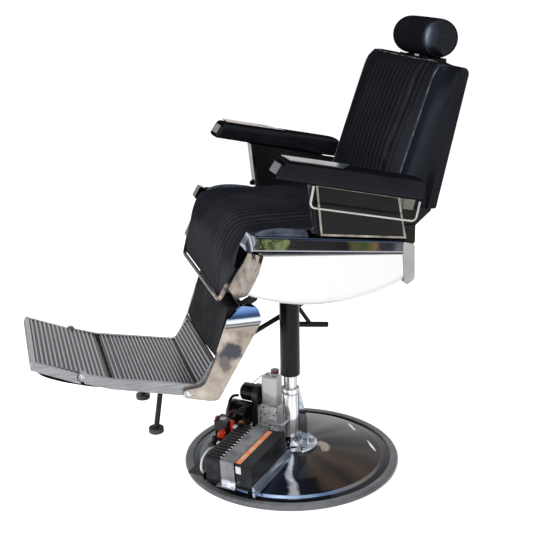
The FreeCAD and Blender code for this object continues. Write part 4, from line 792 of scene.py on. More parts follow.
# name, colour, worn colour, roughness, then any wear, bump, lines and shader values
PLAIN_FINISHES = {
    "rear": ("Rear cap chrome", (0.36, 0.35, 0.34), (0.25, 0.25, 0.25), (0.1, 0.26), {"Metallic": 1.0}),
    "olive": ("Rear plate", (0.11, 0.125, 0.09), (0.26, 0.27, 0.24), (0.16, 0.3), {"Metallic": 1.0}),
    "steel": ("Brushed steel", (0.3, 0.3, 0.31), (0.2, 0.2, 0.21), (0.26, 0.4),
              {"Metallic": 1.0, "lines": (20.0, 500.0, 500.0, 0.12)}),
    "strap": ("Battery strap", (0.22, 0.225, 0.24), (0.12, 0.125, 0.14), (0.28, 0.44),
              {"Metallic": 0.9, "wear": (26.0, 0.44, 0.7), "lines": (8.0, 300.0, 300.0, 0.1)}),
    "strap_dark": ("Dark strip", (0.022, 0.022, 0.026), (0.05, 0.05, 0.056), (0.35, 0.5), {"Metallic": 0.6}),
    "bolt": ("Bolt chrome", (0.6, 0.61, 0.64), (0.2, 0.21, 0.23), (0.08, 0.2), {"Metallic": 1.0}),
    "rail": ("Satin rail", (0.52, 0.5, 0.48), (0.3, 0.29, 0.28), (0.2, 0.36), {"Metallic": 1.0}),
    "paint": ("Black paint", (0.008, 0.008, 0.0095), (0.02, 0.02, 0.022), (0.26, 0.46),
              {"wear": (14.0, 0.5, 0.78), "Specular_IOR_Level": 0.18}),
    "frame": ("Frame paint", (0.02, 0.02, 0.022), (0.05, 0.047, 0.045), (0.42, 0.6), {}),
    "brown": ("Brown paint", (0.022, 0.017, 0.015), (0.05, 0.034, 0.026), (0.34, 0.55),
              {"wear": (30.0, 0.46, 0.7), "bump": (260.0, 0.3)}),
    "rubber": ("Edge rubber", (0.034, 0.035, 0.039), (0.15, 0.155, 0.165), (0.32, 0.55),
               {"wear": (5.0, 0.4, 0.66), "bump": (420.0, 0.25)}),
    "black_rubber": ("Black rubber", (0.014, 0.014, 0.015), (0.04, 0.04, 0.04), (0.5, 0.66),
                     {"bump": (420.0, 0.25)}),
    "panel": ("Gloss black panel", (0.008, 0.0075, 0.0075), (0.016, 0.015, 0.015), (0.1, 0.22),
              {"wear": (10.0, 0.5, 0.78), "Specular_IOR_Level": 0.16}),
    "case": ("Battery case", (0.006, 0.0065, 0.008), (0.03, 0.033, 0.042), (0.3, 0.5),
             {"wear": (34.0, 0.48, 0.74), "bump": (700.0, 0.2), "Specular_IOR_Level": 0.18}),
    "motor": ("Motor paint", (0.006, 0.0055, 0.0055), (0.026, 0.018, 0.015), (0.18, 0.4),
              {"wear": (30.0, 0.5, 0.64), "Specular_IOR_Level": 0.25}),
    "hose": ("Braided hose", (0.42, 0.43, 0.45), (0.2, 0.21, 0.22), (0.3, 0.5),
             {"Metallic": 0.6, "bump": (900.0, 0.6)}),
    "plastic": ("Pale plastic", (0.62, 0.64, 0.66), (0.4, 0.42, 0.45), (0.28, 0.46),
                {"wear": (24.0, 0.46, 0.74), "bump": (320.0, 0.14)}),
    "copper": ("Copper terminal", (0.42, 0.2, 0.1), (0.2, 0.1, 0.06), (0.25, 0.45), {"Metallic": 1.0}),
    "blue": ("Blue terminal", (0.34, 0.44, 0.62), (0.7, 0.74, 0.8), (0.2, 0.4), {"wear": (90.0, 0.4, 0.6)}),
    "board": ("Painted board", (0.022, 0.021, 0.02), (0.05, 0.045, 0.04), (0.45, 0.6),
              {"lines": (400.0, 12.0, 400.0, 0.2)}),
    "dark_red": ("Dark red plastic", (0.16, 0.006, 0.01), (0.07, 0.004, 0.006), (0.24, 0.42), {}),
}


# name, painted reflection colour by place, then roughness, metallic and specular where they differ from
# mirror_metal's
MIRRORS = {
    "cover": ("Base chrome", dome_painted_reflections, (0.07, 0.22), 0.6, 0.12),
    "chrome": ("Column chrome", column_painted_reflections, (0.1, 0.24), 0.7),
    "flange": ("Flange chrome", flange_painted_reflections),
    "band": ("Band chrome", band_painted_reflections),
    "cap": ("Corner chrome", cap_painted_reflections, (0.05, 0.16), 0.7, 0.2),
    "warm": ("Front strip chrome", strip_painted_reflections, (0.12, 0.3)),
    "trim": ("Lower trim", trim_painted_reflections, (0.08, 0.22), 0.5, 0.1),
    "tray": ("Tray aluminium", tray_painted_reflections, (0.16, 0.34), 0.5, 0.2),
    "frame_trim": ("Panel frame", panel_frame_painted_reflections, (0.18, 0.34), 0.8, 0.1),
    "leg_side": ("Leg side chrome", leg_side_painted_reflections, (0.08, 0.22)),
    "plate": ("Armrest plate", plate_painted_reflections, (0.14, 0.3), 0.4, 0.1),
    "casting": ("Bright casting", casting_painted_reflections, (0.2, 0.4), 0.3),
}

# painted highlights on the left half: centre, reach and colour
BACK_HIGHLIGHTS = [((225, y, z), (14, 9, 9), (0.22, 0.25, 0.3)) for y, z in ((324, 1108), (335, 1119))]
HEAD_HIGHLIGHTS = [((108, 356, 1192), (24, 22, 46), (0.018, 0.022, 0.031)),
              ((110, 348, 1194), (12, 15, 38), (0.045, 0.055, 0.078)),
              ((110, 345, 1197), (6, 11, 30), (0.13, 0.155, 0.2))]
# a paler patch over the seat's apron: centre, reach and colour
SEAT_SPOT = ((0, -250, 640), (330, 62, 100), (0.03, 0.03, 0.034))


def on_both_sides(spots):
    """The spots, and their mirror images."""
    return [((side * x, y, z), *rest) for side, _ in SIDES for (x, y, z), *rest in spots]


def make_finishes():
    """Every finish of the chair, by a short name."""
    colours = bpy.context.scene.chair_colours

    def vinyl(times):
        return tuple(v * times for v in colours.vinyl)

    fine = (7.0, 0.5, 0.8)
    black, paler = vinyl(1.0), vinyl(2.2)
    FINISHES["vinyl"] = vinyl_material("Black vinyl", black, paler, fine)
    FINISHES["back"] = vinyl_material("Back vinyl", vinyl(1.15), vinyl(2.0), (7.0, 0.46, 0.74),
                                      lit=on_both_sides(BACK_HIGHLIGHTS), tone=back_side_highlight)
    FINISHES["seat"] = vinyl_material("Seat vinyl", vinyl(1.9), (0.026, 0.0265, 0.031), (6.0, 0.42, 0.72),
                                      (0.32, 0.5), 0.14, lit=[SEAT_SPOT])
    FINISHES["leg"] = vinyl_material("Leg vinyl", (0.022, 0.022, 0.0245), (0.038, 0.038, 0.042),
                                     (8.0, 0.42, 0.72), (0.42, 0.56), 0.08)
    FINISHES["head"] = vinyl_material("Headrest vinyl", black, paler, fine, (0.24, 0.4), 0.1, 0.2,
                                      on_both_sides(HEAD_HIGHLIGHTS))
    # the roll's and the piping's paler patches are painted highlights
    FINISHES["roll"] = vinyl_material("Roll vinyl", (0.015, 0.018, 0.027), (0.085, 0.1, 0.135),
                                      (14.0, 0.46, 0.66), (0.2, 0.34), 0.3, 0.3)
    FINISHES["piping"] = vinyl_material("Piping vinyl", (0.03, 0.03, 0.032), (0.17, 0.165, 0.15),
                                        (34.0, 0.46, 0.66), (0.2, 0.32), 0.3)
    for key, (name, colour, wear_and_sheen, roughness, more) in PLAIN_FINISHES.items():
        FINISHES[key] = varied(name, colour, wear_and_sheen, roughness, **more)
    FINISHES["shell"] = varied("White shell", tuple(colours.shell), (0.8, 0.8, 0.79), (0.2, 0.3),
                               (5.0, 0.5, 0.8), Coat_Weight=0.35)
    FINISHES["red"] = varied("Red plastic", tuple(colours.knob), (0.45, 0.05, 0.03), (0.26, 0.42),
                             (60.0, 0.46, 0.72))
    FINISHES["strip"] = varied("Bare strip", tuple(colours.strip), (0.7, 0.5, 0.36), (0.34, 0.5),
                               (38.0, 0.46, 0.72))
    for key, values in MIRRORS.items():
        FINISHES[key] = mirror_metal(*values)
    FINISHES["inner_tread"] = tread_metal("Inner tread", INNER_TREAD)
    FINISHES["outer_tread"] = tread_metal("Outer tread", OUTER_TREAD)
    FINISHES["reservoir"] = reservoir_material()


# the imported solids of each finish, other than plain vinyl
NODES_OF_FINISH = {
    "frame": "base_plate frame_side_rails frame_crossbars",
    "bolt": "flange_bolts footrest_rivets",
    "case": "battery",
    "tray": "battery_tray",
    "strap": "battery_strap",
    "motor": "control_box pump_motor",
    "red": "isolator_knob",
    "casting": "valve_block",
    "reservoir": "fluid_reservoir",
    "dark_red": "reservoir_cap",
    "brown": "motor_saddle",
    "hose": "pressure_hose",
    "steel": "piston swivel_bearing",
    "black_rubber": "piston_seal leg_feet",
    "board": "seat_board apron_board",
    "trim": "front_trim",
    "band": "side_bands",
    "cap": "side_corner_caps",
    "shell": "side_shells",
    "warm": "front_strips",
    "rear": "rear_caps headrest_post",
    "plate": "armrest_plates",
    "panel": "arm_panels",
    "frame_trim": "arm_panel_frames",
    "rail": "towel_rail",
    "paint": "hinge_brackets legrest_hinge_brackets back_hinge_arms recline_shaft headrest_guide "
             "push_rod release_lever legrest_frame footrest_legs swivel_hub",
    "back": "back_board",
    "leg_side": "legrest_side_panels",
    "inner_tread": "footrest_frame",
    "outer_tread": "flip_plate",
    "flange": "column_flange",
}


# Outlines

def lerp(a, b, t):
    return a + (b - a) * t


def profile_point(x, y, z):
    """(y, z) at each x, where y and z are one value or one per x."""
    return np.stack([y + 0.0 * x, z + 0.0 * x], -1)


def across(x, outlines):
    """Rings in 3D from (y, z) outlines at x stations."""
    return np.concatenate([np.broadcast_to(x[:, None, None], (*outlines.shape[:2], 1)), outlines], -1)


def square_to(a, b):
    """Unit (y, z) vector square to the line from a to b, on its left."""
    d = (b - a) / np.linalg.norm(b - a)
    return np.array([-d[1], d[0]])


def swollen(a, b, forward, swell, shares):
    """(y, z) rows at shares of the way from a to b, each pushed forward by its own share of the swell."""
    return [lerp(a, b, t) + forward * (swell * k)[:, None] for t, k in shares]


def ramp(value, low, width):
    """0 below low, 1 past low + width, and straight between."""
    return np.clip((value - low) / width, 0, 1)


def fall(value, high, width):
    """1 up to high - width, 0 past high, and straight between."""
    return np.clip((high - value) / width, 0, 1)


def channel_rise(x, half, border, count):
    """Rounded ribs between sewn lines: |sin(pi u)| ** 0.6, where u counts channels from one border."""
    u = (np.asarray(x) + half - border) / (2 * (half - border)) * count
    inside = (u > -0.001) & (u < count + 0.001)
    return np.where(inside, np.abs(np.sin(np.pi * u)) ** 0.6, 1.0)


def channel_stations(half, border, count):
    """x stations: close together beside each sewn line, and finer towards the rounded edges."""
    pitch = 2 * (half - border) / max(count, 1)
    steps = np.array([0.0, 0.06, 0.17, 0.36, 0.64, 0.83, 0.94])
    inner = -(half - border) + pitch * (np.arange(count)[:, None] + steps).reshape(-1)
    side = (half - border) + border * np.sin(np.linspace(0, math.pi / 2, 9))
    return np.concatenate([-side[:0:-1], inner, side])


def groove_of(rises, outer):
    """Share of each point that lies down in a sewn groove."""
    return np.clip((0.62 - rises) / 0.62, 0, 1) * outer


# Seat pad

SEAT_HALF = 260.0
SEAT_BORDER = 42.0
SEAT_CHANNEL_SHARE = 0.7


def seat_controls(x, crown):
    """Control points (y, z) of the seat pad's side outline at each x: a crowned top, a waterfall front and an
    apron whose toe rises towards both sides."""
    fade = ramp(np.abs(x), 214.0, 67.0)
    edge = ramp(np.abs(x), 246.0, 14.0) ** 2
    lift = crown * (1 - (np.abs(x) / 281.0) ** 2.4) - 5.0 * edge

    def at(y, z):
        return profile_point(x, y, z)

    knee = at(-205.0 - 0.5 * lift, 715.0 + 0.2 * lift)
    toe = at(-242.5 + 40 * fade, 582.0 + 128 * fade)
    swell = at(-(4.0 + 0.85 * lift) * (1 - fade), 0.0)
    return np.stack([
        at(192, 728), at(192, 742 + 0.6 * lift), at(176, 745 + 0.8 * lift), at(60, 748 + lift),
        at(-60, 750 + lift), at(-140, 752 + lift), at(-172, 750 + 0.9 * lift), at(-193, 741 + 0.7 * lift),
        knee, lerp(knee, toe, 0.25) + swell * 0.9, lerp(knee, toe, 0.55) + swell,
        lerp(knee, toe, 0.85) + swell * 0.5, toe + np.array([0.0, 4.0]), toe + np.array([3.0, -2.0]),
        toe + np.array([17.0, 6.0]), at(-178, np.maximum(toe[:, 1] + 8, 698.0)), at(-170, 689),
        at(-150, 686.2), at(60, 686.2), at(182, 686.2), at(192, 690)], 1)


class CHAIR_OT_seat_pad(bpy.types.Operator):
    """Channelled seat pad with its waterfall front and apron"""
    bl_idname = "chair.seat_pad"
    bl_label = "Seat pad"

    def execute(self, context):
        sizes = context.scene.chair_pads
        x = channel_stations(SEAT_HALF, SEAT_BORDER, sizes.seat_channels)
        points, faces = closed_solid(across(x, chaikin(seat_controls(x, sizes.seat_crown))))
        top = (vertex_normals(points, faces)[:, 2] > 0.2) | (points[:, 1] < -195)
        inner = fall(np.abs(points[:, 0]), 252, 14) * ramp(points[:, 2], 592, 25)
        points = filled(points, faces, sizes.swell, top * inner)
        normal = vertex_normals(points, faces)
        outer = np.clip(ramp(normal[:, 2], 0.15, 0.3) + ramp(-normal[:, 1], 0.3, 0.3), 0, 1)
        outer = outer * inner * (points[:, 2] > 600) * fall(points[:, 1], 185, 12)
        ribs = channel_rise(points[:, 0], SEAT_HALF, SEAT_BORDER, sizes.seat_channels)
        depth = sizes.channel_depth * SEAT_CHANNEL_SHARE
        points = points + normal * ((ribs - 1) * outer * depth)[:, None]
        padded_piece("seat_pad", points, faces, "seat", "seat", ("seat_cushion",),
                     groove_of(ribs, outer) * SEAT_CHANNEL_SHARE)
        return {"FINISHED"}


class CHAIR_OT_seat_rolls(bpy.types.Operator):
    """Padded rolls on the seat's sides, in front of the arm panels"""
    bl_idname = "chair.seat_rolls"
    bl_label = "Seat side rolls"

    def execute(self, context):
        y = np.array([-163.0, -156.0, -145.0, -125.0, -98.0, -70.0, -45.0, -34.0])
        high = np.interp(y, [-163, -150, -125, -98, -58, -31], [751.5, 758.5, 762.3, 762.0, 757.0, 750.5])
        low = np.interp(y, [-163, -135, -31], [722, 714, 706])
        inner, outer = 262.6, 285.0
        outline = [np.stack([x + 0 * y, y, z], -1) for x, z in (
            (inner, low), (inner, high - 9), (inner + 1, high - 0.5), (inner + 7, high),
            (outer - 8, high - 4), (outer - 1, high - 9), (outer, high - 16), (outer, low))]
        for side, name in SIDES:
            rings = rounded_ends(chaikin(np.stack(outline, 1), 2), 2.5, 3)
            rings[..., 0] *= side
            points, faces = closed_solid(rings)
            padded_piece("seat_roll_" + name, filled(points, faces, 1.0), faces, "seat", "roll")
        return {"FINISHED"}


# Back pad

BACK_HALF = 231.0
BACK_BORDER = 46.0
BACK_LOW = np.array([199.0, 779.0])
BACK_TOP = np.array([321.0, 1134.0])
BOARD_TOP = np.array([407.5, 1114.0])
BOARD_LOW = np.array([326.0, 766.0])
BOARD_T = 24.4
BACK_FORWARD = square_to(BACK_LOW, BACK_TOP)
BACK_UPWARD = (BACK_TOP - BACK_LOW) / np.linalg.norm(BACK_TOP - BACK_LOW)


def back_controls(x):
    """Control points (y, z) of the back pad's side outline at each x: a front that swells most at waist
    height, a rounded top and a flat rear against the board."""
    corner = ramp(np.abs(x), BACK_HALF - 24, 24) ** 2
    swell = 14.5 * (1 - (np.abs(x) / BACK_HALF) ** 8)
    behind = -square_to(BOARD_TOP, BOARD_LOW) * BOARD_T
    board_top, board_low = BOARD_TOP + behind, BOARD_LOW + behind

    def at(y, z):
        return profile_point(x, y, z)

    front = swollen(BACK_LOW, BACK_TOP, BACK_FORWARD, swell, (
        (0.96, 0.55), (0.88, 0.95), (0.62, 1.35), (0.36, 1.75), (0.18, 1.35), (0.06, 0.8)))
    front[0] = front[0] - at(0, 9 * corner)
    foot = lerp(board_top, board_low, 0.985)
    bottom = [at(BACK_LOW[0] + 8 - 0.2 * swell, BACK_LOW[1] + 2), at(BACK_LOW[0] + 26, BACK_LOW[1] - 4),
              at(foot[0] - 8, 769), at(*foot)]
    rear = [at(*lerp(board_top, board_low, 0.7)), at(*lerp(board_top, board_low, 0.35)),
            at(board_top[0] - 1.5, board_top[1] - 8 - 4 * corner)]
    top = [at(board_top[0] - 12, board_top[1] + 4 - 7 * corner),
           at(BACK_TOP[0] + 8, BACK_TOP[1] + 3 + 0.25 * swell - 11 * corner)]
    return np.stack(front + bottom + rear + top, 1)


class CHAIR_OT_back_pad(bpy.types.Operator):
    """Channelled back pad with piped front edges"""
    bl_idname = "chair.back_pad"
    bl_label = "Back pad"

    def execute(self, context):
        sizes = context.scene.chair_pads
        x = channel_stations(BACK_HALF - 0.8, BACK_BORDER, sizes.back_channels)
        rings = across(x, chaikin(back_controls(x)))
        points, faces = closed_solid(rings)
        facing = vertex_normals(points, faces)[:, 1:] @ BACK_FORWARD
        inner = fall(np.abs(points[:, 0]), BACK_HALF - 6, 16)
        points = filled(points, faces, sizes.swell, np.clip(facing, 0, 1) * inner)
        normal = vertex_normals(points, faces)
        outer = ramp(normal[:, 1:] @ BACK_FORWARD, 0.35, 0.3) * inner * ramp(points[:, 2], 800, 12)
        ribs = self.ribs(points[:, 0], sizes)
        points = points + normal * ((ribs - 1) * outer * sizes.channel_depth)[:, None]
        padded_piece("back_pad", points, faces, "back", "back", ("back_cushion",),
                     groove_of(ribs, outer))
        rings = points.reshape(rings.shape)
        self.top_piping(rings, sizes)
        self.side_piping(rings)
        return {"FINISHED"}

    def ribs(self, x, sizes):
        return channel_rise(x, BACK_HALF - 0.8, BACK_BORDER, sizes.back_channels)

    def top_piping(self, rings, sizes):
        """Piping across the top, over the ribs' crowns: each ring's highest point seen from halfway between
        front and top."""
        lean = (BACK_FORWARD + BACK_UPWARD) / math.sqrt(2)
        crest = rings[np.arange(len(rings)), np.argmax((rings[..., 1:] - BACK_LOW) @ lean, 1)]
        kept = (np.abs(crest[:, 0]) < BACK_HALF - 12) & (self.ribs(crest[:, 0], sizes) > 0.94)
        crest = crest[kept] + np.array([0.0, *(lean * 0.2)])
        points, faces = tube(smooth_path(crest[::2], 60), 1.5, 8)
        piece("back_piping_top", points, faces, "back", "piping")

    def side_piping(self, rings):
        """Piping along both front edges: the outermost rings' front runs, lifted off the vinyl a little."""
        for row, name in ((1, "right"), (-2, "left")):
            rise_up = (rings[row][:, 1:] - BACK_LOW) @ BACK_UPWARD
            ahead = (rings[row][:, 1:] - BACK_LOW) @ BACK_FORWARD
            keep = (ahead > -9) & (rise_up > 12) & (rise_up < 372)
            path = rings[row][keep][np.argsort(rise_up[keep])] + np.array([0.0, *(BACK_FORWARD * 0.6)])
            points, faces = tube(smooth_path(path[::3], 60), 1.9, 8)
            cord = piece("back_piping_" + name, points, faces, "back", "piping")
            modified(cord, "SUBSURF", levels=1, render_levels=1)


# Headrest

HEAD_CENTRE = np.array([0.0, 386.0, 1180.0])
HEAD_HALF = 119.0
HEAD_GIRTH = 1.02
HEAD_SWELL = 0.25
# radius, and distance in from the end, from the button to the middle of the roll
HEAD_EDGE = ((0.1, 3.2), (5, 2.6), (12, 1.0), (22, 0.6), (32, 2.2), (39.5, 6.0), (44.5, 12), (47.2, 19),
             (48.6, 30), (49.2, 60), (49.4, 99))
BUTTON = ((0.1, 1.6), (2.4, 1.5), (4.4, 0.9), (5.2, -0.4), (5.3, -1.5))


class CHAIR_OT_headrest(bpy.types.Operator):
    """Bolster headrest, drawn in to a button at each end"""
    bl_idname = "chair.headrest"
    bl_label = "Headrest"

    def execute(self, context):
        edge = smooth_path([(radius, HEAD_HALF - inward) for radius, inward in HEAD_EDGE], 34)
        edge[:, 0] *= HEAD_GIRTH
        points, faces = lathe(np.vstack([edge * np.array([1, -1]), edge[::-1]]), 72, "X", HEAD_CENTRE)
        points = filled(points, faces, context.scene.chair_pads.swell * HEAD_SWELL)
        padded_piece("headrest_bolster", points, faces, "headrest", "head", ("headrest_pad",))
        angle = round_angles(72)
        for side, name in SIDES:
            shape, quads = lathe(smooth_path(BUTTON, 10) * np.array([1, side]), 24, "X",
                                 HEAD_CENTRE + np.array([side * (HEAD_HALF - HEAD_EDGE[0][1]), 0, 0]))
            piece("headrest_button_" + name, shape, quads, "headrest", "vinyl")
            loop = np.stack([side * (HEAD_HALF - 14) + 0 * angle, 45.8 * np.cos(angle), 45.8 * np.sin(angle)],
                            -1)
            seam, quads = closed_tube(loop + HEAD_CENTRE, 0.9, 8)
            piece("headrest_seam_" + name, seam, quads, "headrest", "piping")
        return {"FINISHED"}


# Arm pads

ARM_X = (261.0, 356.0)
ARM_TOP = np.array([[-106.0, 939.0], [245.0, 866.0]])
ARM_LOW = np.array([[-133.0, 898.0], [237.0, 816.0]])
# shares of the arm's length: first, last and how many
ARM_STATIONS = ((0.012, 0.08, 5), (0.12, 0.88, 14), (0.92, 0.985, 5))
ARM_SQUARENESS = 5.0
ARM_CROWN = 2.2
ARM_SWELL = 0.2


class CHAIR_OT_arm_pads(bpy.types.Operator):
    """Padded armrests with a leaning front end. Each ring is a superellipse with a crown on top"""
    bl_idname = "chair.arm_pads"
    bl_label = "Armrests"

    def execute(self, context):
        t = np.concatenate([np.linspace(*run) for run in ARM_STATIONS])
        top = lerp(*ARM_TOP, t[:, None])
        low = lerp(*ARM_LOW, t[:, None])
        angle = round_angles(48) + math.pi / 48
        power = 2 / ARM_SQUARENESS
        sideways = np.sign(np.cos(angle)) * np.abs(np.cos(angle)) ** power
        up = np.sign(np.sin(angle)) * np.abs(np.sin(angle)) ** power
        crown = np.where(up > 0, ARM_CROWN * (1 - sideways ** 2), 0.0)
        centre, reach = (top + low) / 2, (top - low) / 2 * 0.985
        yz = centre[:, None] + reach[:, None] * up[None, :, None]
        yz = yz + (reach / np.linalg.norm(reach, axis=1, keepdims=True))[:, None] * crown[None, :, None]
        x = sum(ARM_X) / 2 + ((ARM_X[1] - ARM_X[0]) / 2 - 0.6) * sideways
        x = np.broadcast_to(x[None, :, None], (*yz.shape[:2], 1))
        rings = rounded_ends(np.concatenate([x, yz], -1), 4.5, 4)
        for side, name in SIDES:
            points, faces = closed_solid(rings * np.array([side, 1, 1]))
            points = filled(points, faces, context.scene.chair_pads.swell * ARM_SWELL)
            padded_piece("armrest_" + name, points, faces, "seat", "vinyl",
                         ("armrest_pads",) if side == 1 else ())
        return {"FINISHED"}


# Small plates

def side_plate(outline, low, high):
    """(points, faces) of a plate with a (y, z) outline between two x values."""
    outline = np.array(outline, float)
    return closed_solid(across(np.array([low, high], float), np.broadcast_to(outline, (2, *outline.shape))))


def tread_rib(y, z):
    """(y, z) outline of a rib on the inner tread's level run."""
    return [(y, z), (y + 1.85, z + 2.37), (y + 4.8, z + 1.84), (y + 5.9, z - 1.08)]


# name, (y, z) outline, lowest and highest x, body, finish, slot, mirrored to the other side
PLATES = (
    ("arm_gusset", [(180, 822), (214, 818), (240, 812), (238, 752), (206, 748), (200, 760)],
     261.4, 265.4, "seat", "paint", "black_steel", True),
    ("arm_rear_plate", [(196, 820), (238, 811), (232, 786), (203, 792)],
     295.0, 299.0, "seat", "olive", "chrome", True),
    ("roll_corner", [(-29, 757), (-21, 763), (-12, 752), (-14, 747.5), (-28, 749)],
     289.0, 297.0, "seat", "cap", "chrome", True),
    ("bend_strip", [(-531, 374.5), (-510.5, 368.5), (-510.5, 366.5), (-531, 371.5)],
     -163.0, 163.0, "flip_plate", "strap_dark", "aluminium", False),
    ("neck_rest", [(364, 1132), (372.5, 1129.2), (381.5, 1127.6), (390.5, 1127.6), (399.5, 1129.2),
                   (400, 1113), (364, 1121)], 16.0, 109.0, "back", "vinyl", "vinyl", True),
    ("heel_lip", [(-258, 392.5), (-257.5, 399.6), (-255.5, 401.4), (-251, 401.4), (-249.5, 392.5)],
     -175.0, 175.0, "footrest", "strap_dark", "aluminium", False),
    ("tread_rib_1", tread_rib(-508.98, 377.79),
     -165.0, 165.0, "footrest", "inner_tread", "cast_aluminium", False),
    ("tread_rib_2", tread_rib(-498.48, 375.88),
     -165.0, 165.0, "footrest", "inner_tread", "cast_aluminium", False),
)


class CHAIR_OT_plates(bpy.types.Operator):
    """Small plates: behind the arm panels, by the seat rolls, and along the footrest's bend and heel"""
    bl_idname = "chair.plates"
    bl_label = "Small plates"

    def execute(self, context):
        for name, outline, low, high, body, finish, slot, paired in PLATES:
            for side, ending in ((1, "_left"), (-1, "_right")) if paired else ((1, ""),):
                points, faces = side_plate(outline, low, high)
                points = points * np.array([side, 1, 1])
                softened(piece(name + ending, points, faces, body, finish, smooth=False))
        return {"FINISHED"}


# Leg and calf pads

LEG_TOP = np.array([-212.0, 543.0])
LEG_LOW = np.array([-254.0, 402.0])
LEG_T = 33.8
LEG_SWELL = 0.5
CALF_SWELL = 0.3
# (y, z) point of the calf pad's underside and its share of the sag, from the front
CALF_LINE = (((-702, 428), 0.0), ((-699, 414), 0.2), ((-684, 397), 0.7), ((-643, 377), 1.0),
             ((-600, 363), 1.05), ((-567, 353), 1.0), ((-540, 351), 0.5), ((-531.5, 357), 0.1),
             ((-531, 372), 0.0))


def crowded(half, count):
    """Stations from -half to half, closer together towards both: half times the sine of even angles."""
    return half * np.sin(np.linspace(-math.pi / 2, math.pi / 2, count))


class CHAIR_OT_leg_pads(bpy.types.Operator):
    """Crowned leg pad, and the calf pad under the flip plate"""
    bl_idname = "chair.leg_pads"
    bl_label = "Leg pads"

    def execute(self, context):
        self.leg(context.scene.chair_pads.swell)
        self.calf(context.scene.chair_pads.swell)
        return {"FINISHED"}

    def leg(self, cap):
        """Front line pushed forward by 15 (1 - share ** 3), rear line flat on its plate."""
        x = crowded(173.5, 41)
        forward = square_to(LEG_LOW, LEG_TOP)
        front = swollen(LEG_TOP, LEG_LOW, forward, 15.0 * (1 - (np.abs(x) / 173.5) ** 3), (
            (0.02, 0.25), (0.09, 0.7), (0.3, 1.0), (0.6, 1.05), (0.88, 0.75), (0.97, 0.3)))
        rear = [lerp(LEG_LOW, LEG_TOP, t) - forward * LEG_T for t in (0, 0.06, 0.5, 0.94, 1)]
        back = [profile_point(x, *point) for point in rear]
        points, faces = closed_solid(across(x, chaikin(np.stack(front + back, 1), 2)))
        facing = vertex_normals(points, faces)[:, 1:] @ forward
        points = filled(points, faces, cap * LEG_SWELL, np.clip(facing, 0, 1))
        padded_piece("leg_pad_cover", points, faces, "legrest", "leg", ("leg_pad",))

    def calf(self, cap):
        """Underside sagging by up to 10 mm in the middle, top flat against the plate."""
        x = crowded(149.5, 35)
        share = np.abs(x) / 149.5
        sag = 10 * (1 - share ** 2) - 6 * share ** 8
        low = [profile_point(x, p[0], p[1] - sag * k) for p, k in CALF_LINE]
        high = [profile_point(x, *p) for p in ((-560, 386), (-640, 415), (-696, 435))]
        points, faces = closed_solid(across(x, chaikin(np.stack(low + high, 1), 2)))
        below = (vertex_normals(points, faces)[:, 2] < 0).astype(float)
        points = filled(points, faces, cap * CALF_SWELL, below)
        padded_piece("calf_pad_cover", points, faces, "flip_plate", "vinyl", ("calf_pad",))


# Base and column

DOME = np.linspace(0, 1, 22)


def pipe(inner, outer, low, high):
    """(radius, height) section of a plain pipe."""
    return [[inner, low], [outer, low], [outer, high], [inner, high], [inner, low]]


# name: node, body, finish, slot and (radius, height) outline. The dome's rise follows a quarter sine from its
# step to its top.
TURNED = {
    "base_dome": ("base_cover", "base", "cover", "chrome", [
        [293, 11.5], [263.5, 13.0], [262.2, 13.6], [260.2, 19.0], [259.4, 19.8],
        *np.stack([259 - 173 * DOME, 20 + 23 * np.sin(DOME * math.pi / 2)], -1).tolist(),
        [24, 43], [24, 40.5], [86, 40.5], [200, 33], [256, 17], [261, 10.5], [293, 9], [293, 11.5]]),
    "base_edge": ("base_rubber_ring", "base", "rubber", "rubber", [
        [293.3, 0], [303, 0], [306, 1.5], [307, 5], [307, 9], [305.5, 12.5], [302, 15], [290, 15],
        [286, 14.4], [284.3, 13.2], [284.3, 12.4], [293.3, 12], [293.3, 0]]),
    "column_tube": ("cylinder_tube", "base", "chrome", "chrome", pipe(20.5, 23, 20, 203)),
    "column_gland": ("gland_nut", "base", "chrome", "chrome", [
        [19.1, 203], [25, 203], [25.4, 206], [25.4, 217], [24.6, 220], [22, 221], [19.1, 221], [19.1, 203]]),
    "lift_ram": ("ram_tube", "ram", "chrome", "chrome", pipe(15.5, 19, 93, 548)),
    "lift_sleeve": ("column_sleeve", "ram", "paint", "black_steel", [
        [26, 260], [27.4, 260], [28, 261], [28, 548], [19.1, 548], [19.1, 541], [26, 541], [26, 260]]),
}


class CHAIR_OT_base(bpy.types.Operator):
    """Turned pieces of the base and the lifting column"""
    bl_idname = "chair.base"
    bl_label = "Base and column"

    def execute(self, context):
        for name, (node, body, finish, slot, profile) in TURNED.items():
            points, faces = lathe(profile, 128)
            softened(piece(name, points, faces, body, finish, (node,)), 30.0)
        return {"FINISHED"}


# Power pack

PACK_ORIGIN = np.array([236.0, -178.0, 26.0])
PACK_TURN = math.radians(135.8)
PACK_LEAN = math.radians(4.6)


def on_pack(points, tilted=True):
    """Points from the pack's own frame (along, left, up) to the base: leaned where tilted, then turned."""
    lean = PACK_LEAN if tilted else 0.0
    p = np.asarray(points, float)
    ahead = p[..., 0] * math.cos(lean) - p[..., 2] * math.sin(lean)
    up = p[..., 0] * math.sin(lean) + p[..., 2] * math.cos(lean)
    return PACK_ORIGIN + np.stack([ahead * math.cos(PACK_TURN) - p[..., 1] * math.sin(PACK_TURN),
                                   ahead * math.sin(PACK_TURN) + p[..., 1] * math.cos(PACK_TURN), up], -1)


def slab(low, high):
    """Block from low to high in layers: the lowest and highest are drawn in by 0.8 mm, as a small bevel."""
    low, high = np.array(low, float), np.array(high, float)
    corners = np.array([[0, 0], [1, 0], [1, 1], [0, 1]], float)
    rings = []
    for t, grow in ((0, -0.8), (0.06, 0), (0.5, 0), (0.94, 0), (1, -0.8)):
        ring = low[:2] + corners * (high[:2] - low[:2]) + (corners - 0.5) * 2 * grow
        rings.append(np.concatenate([ring, np.full((4, 1), low[2] + (high[2] - low[2]) * t)], -1))
    return closed_solid(np.array(rings))


LID_TOP = 87.5
LID_FINS = 13
LID_FIN_PITCH = 14

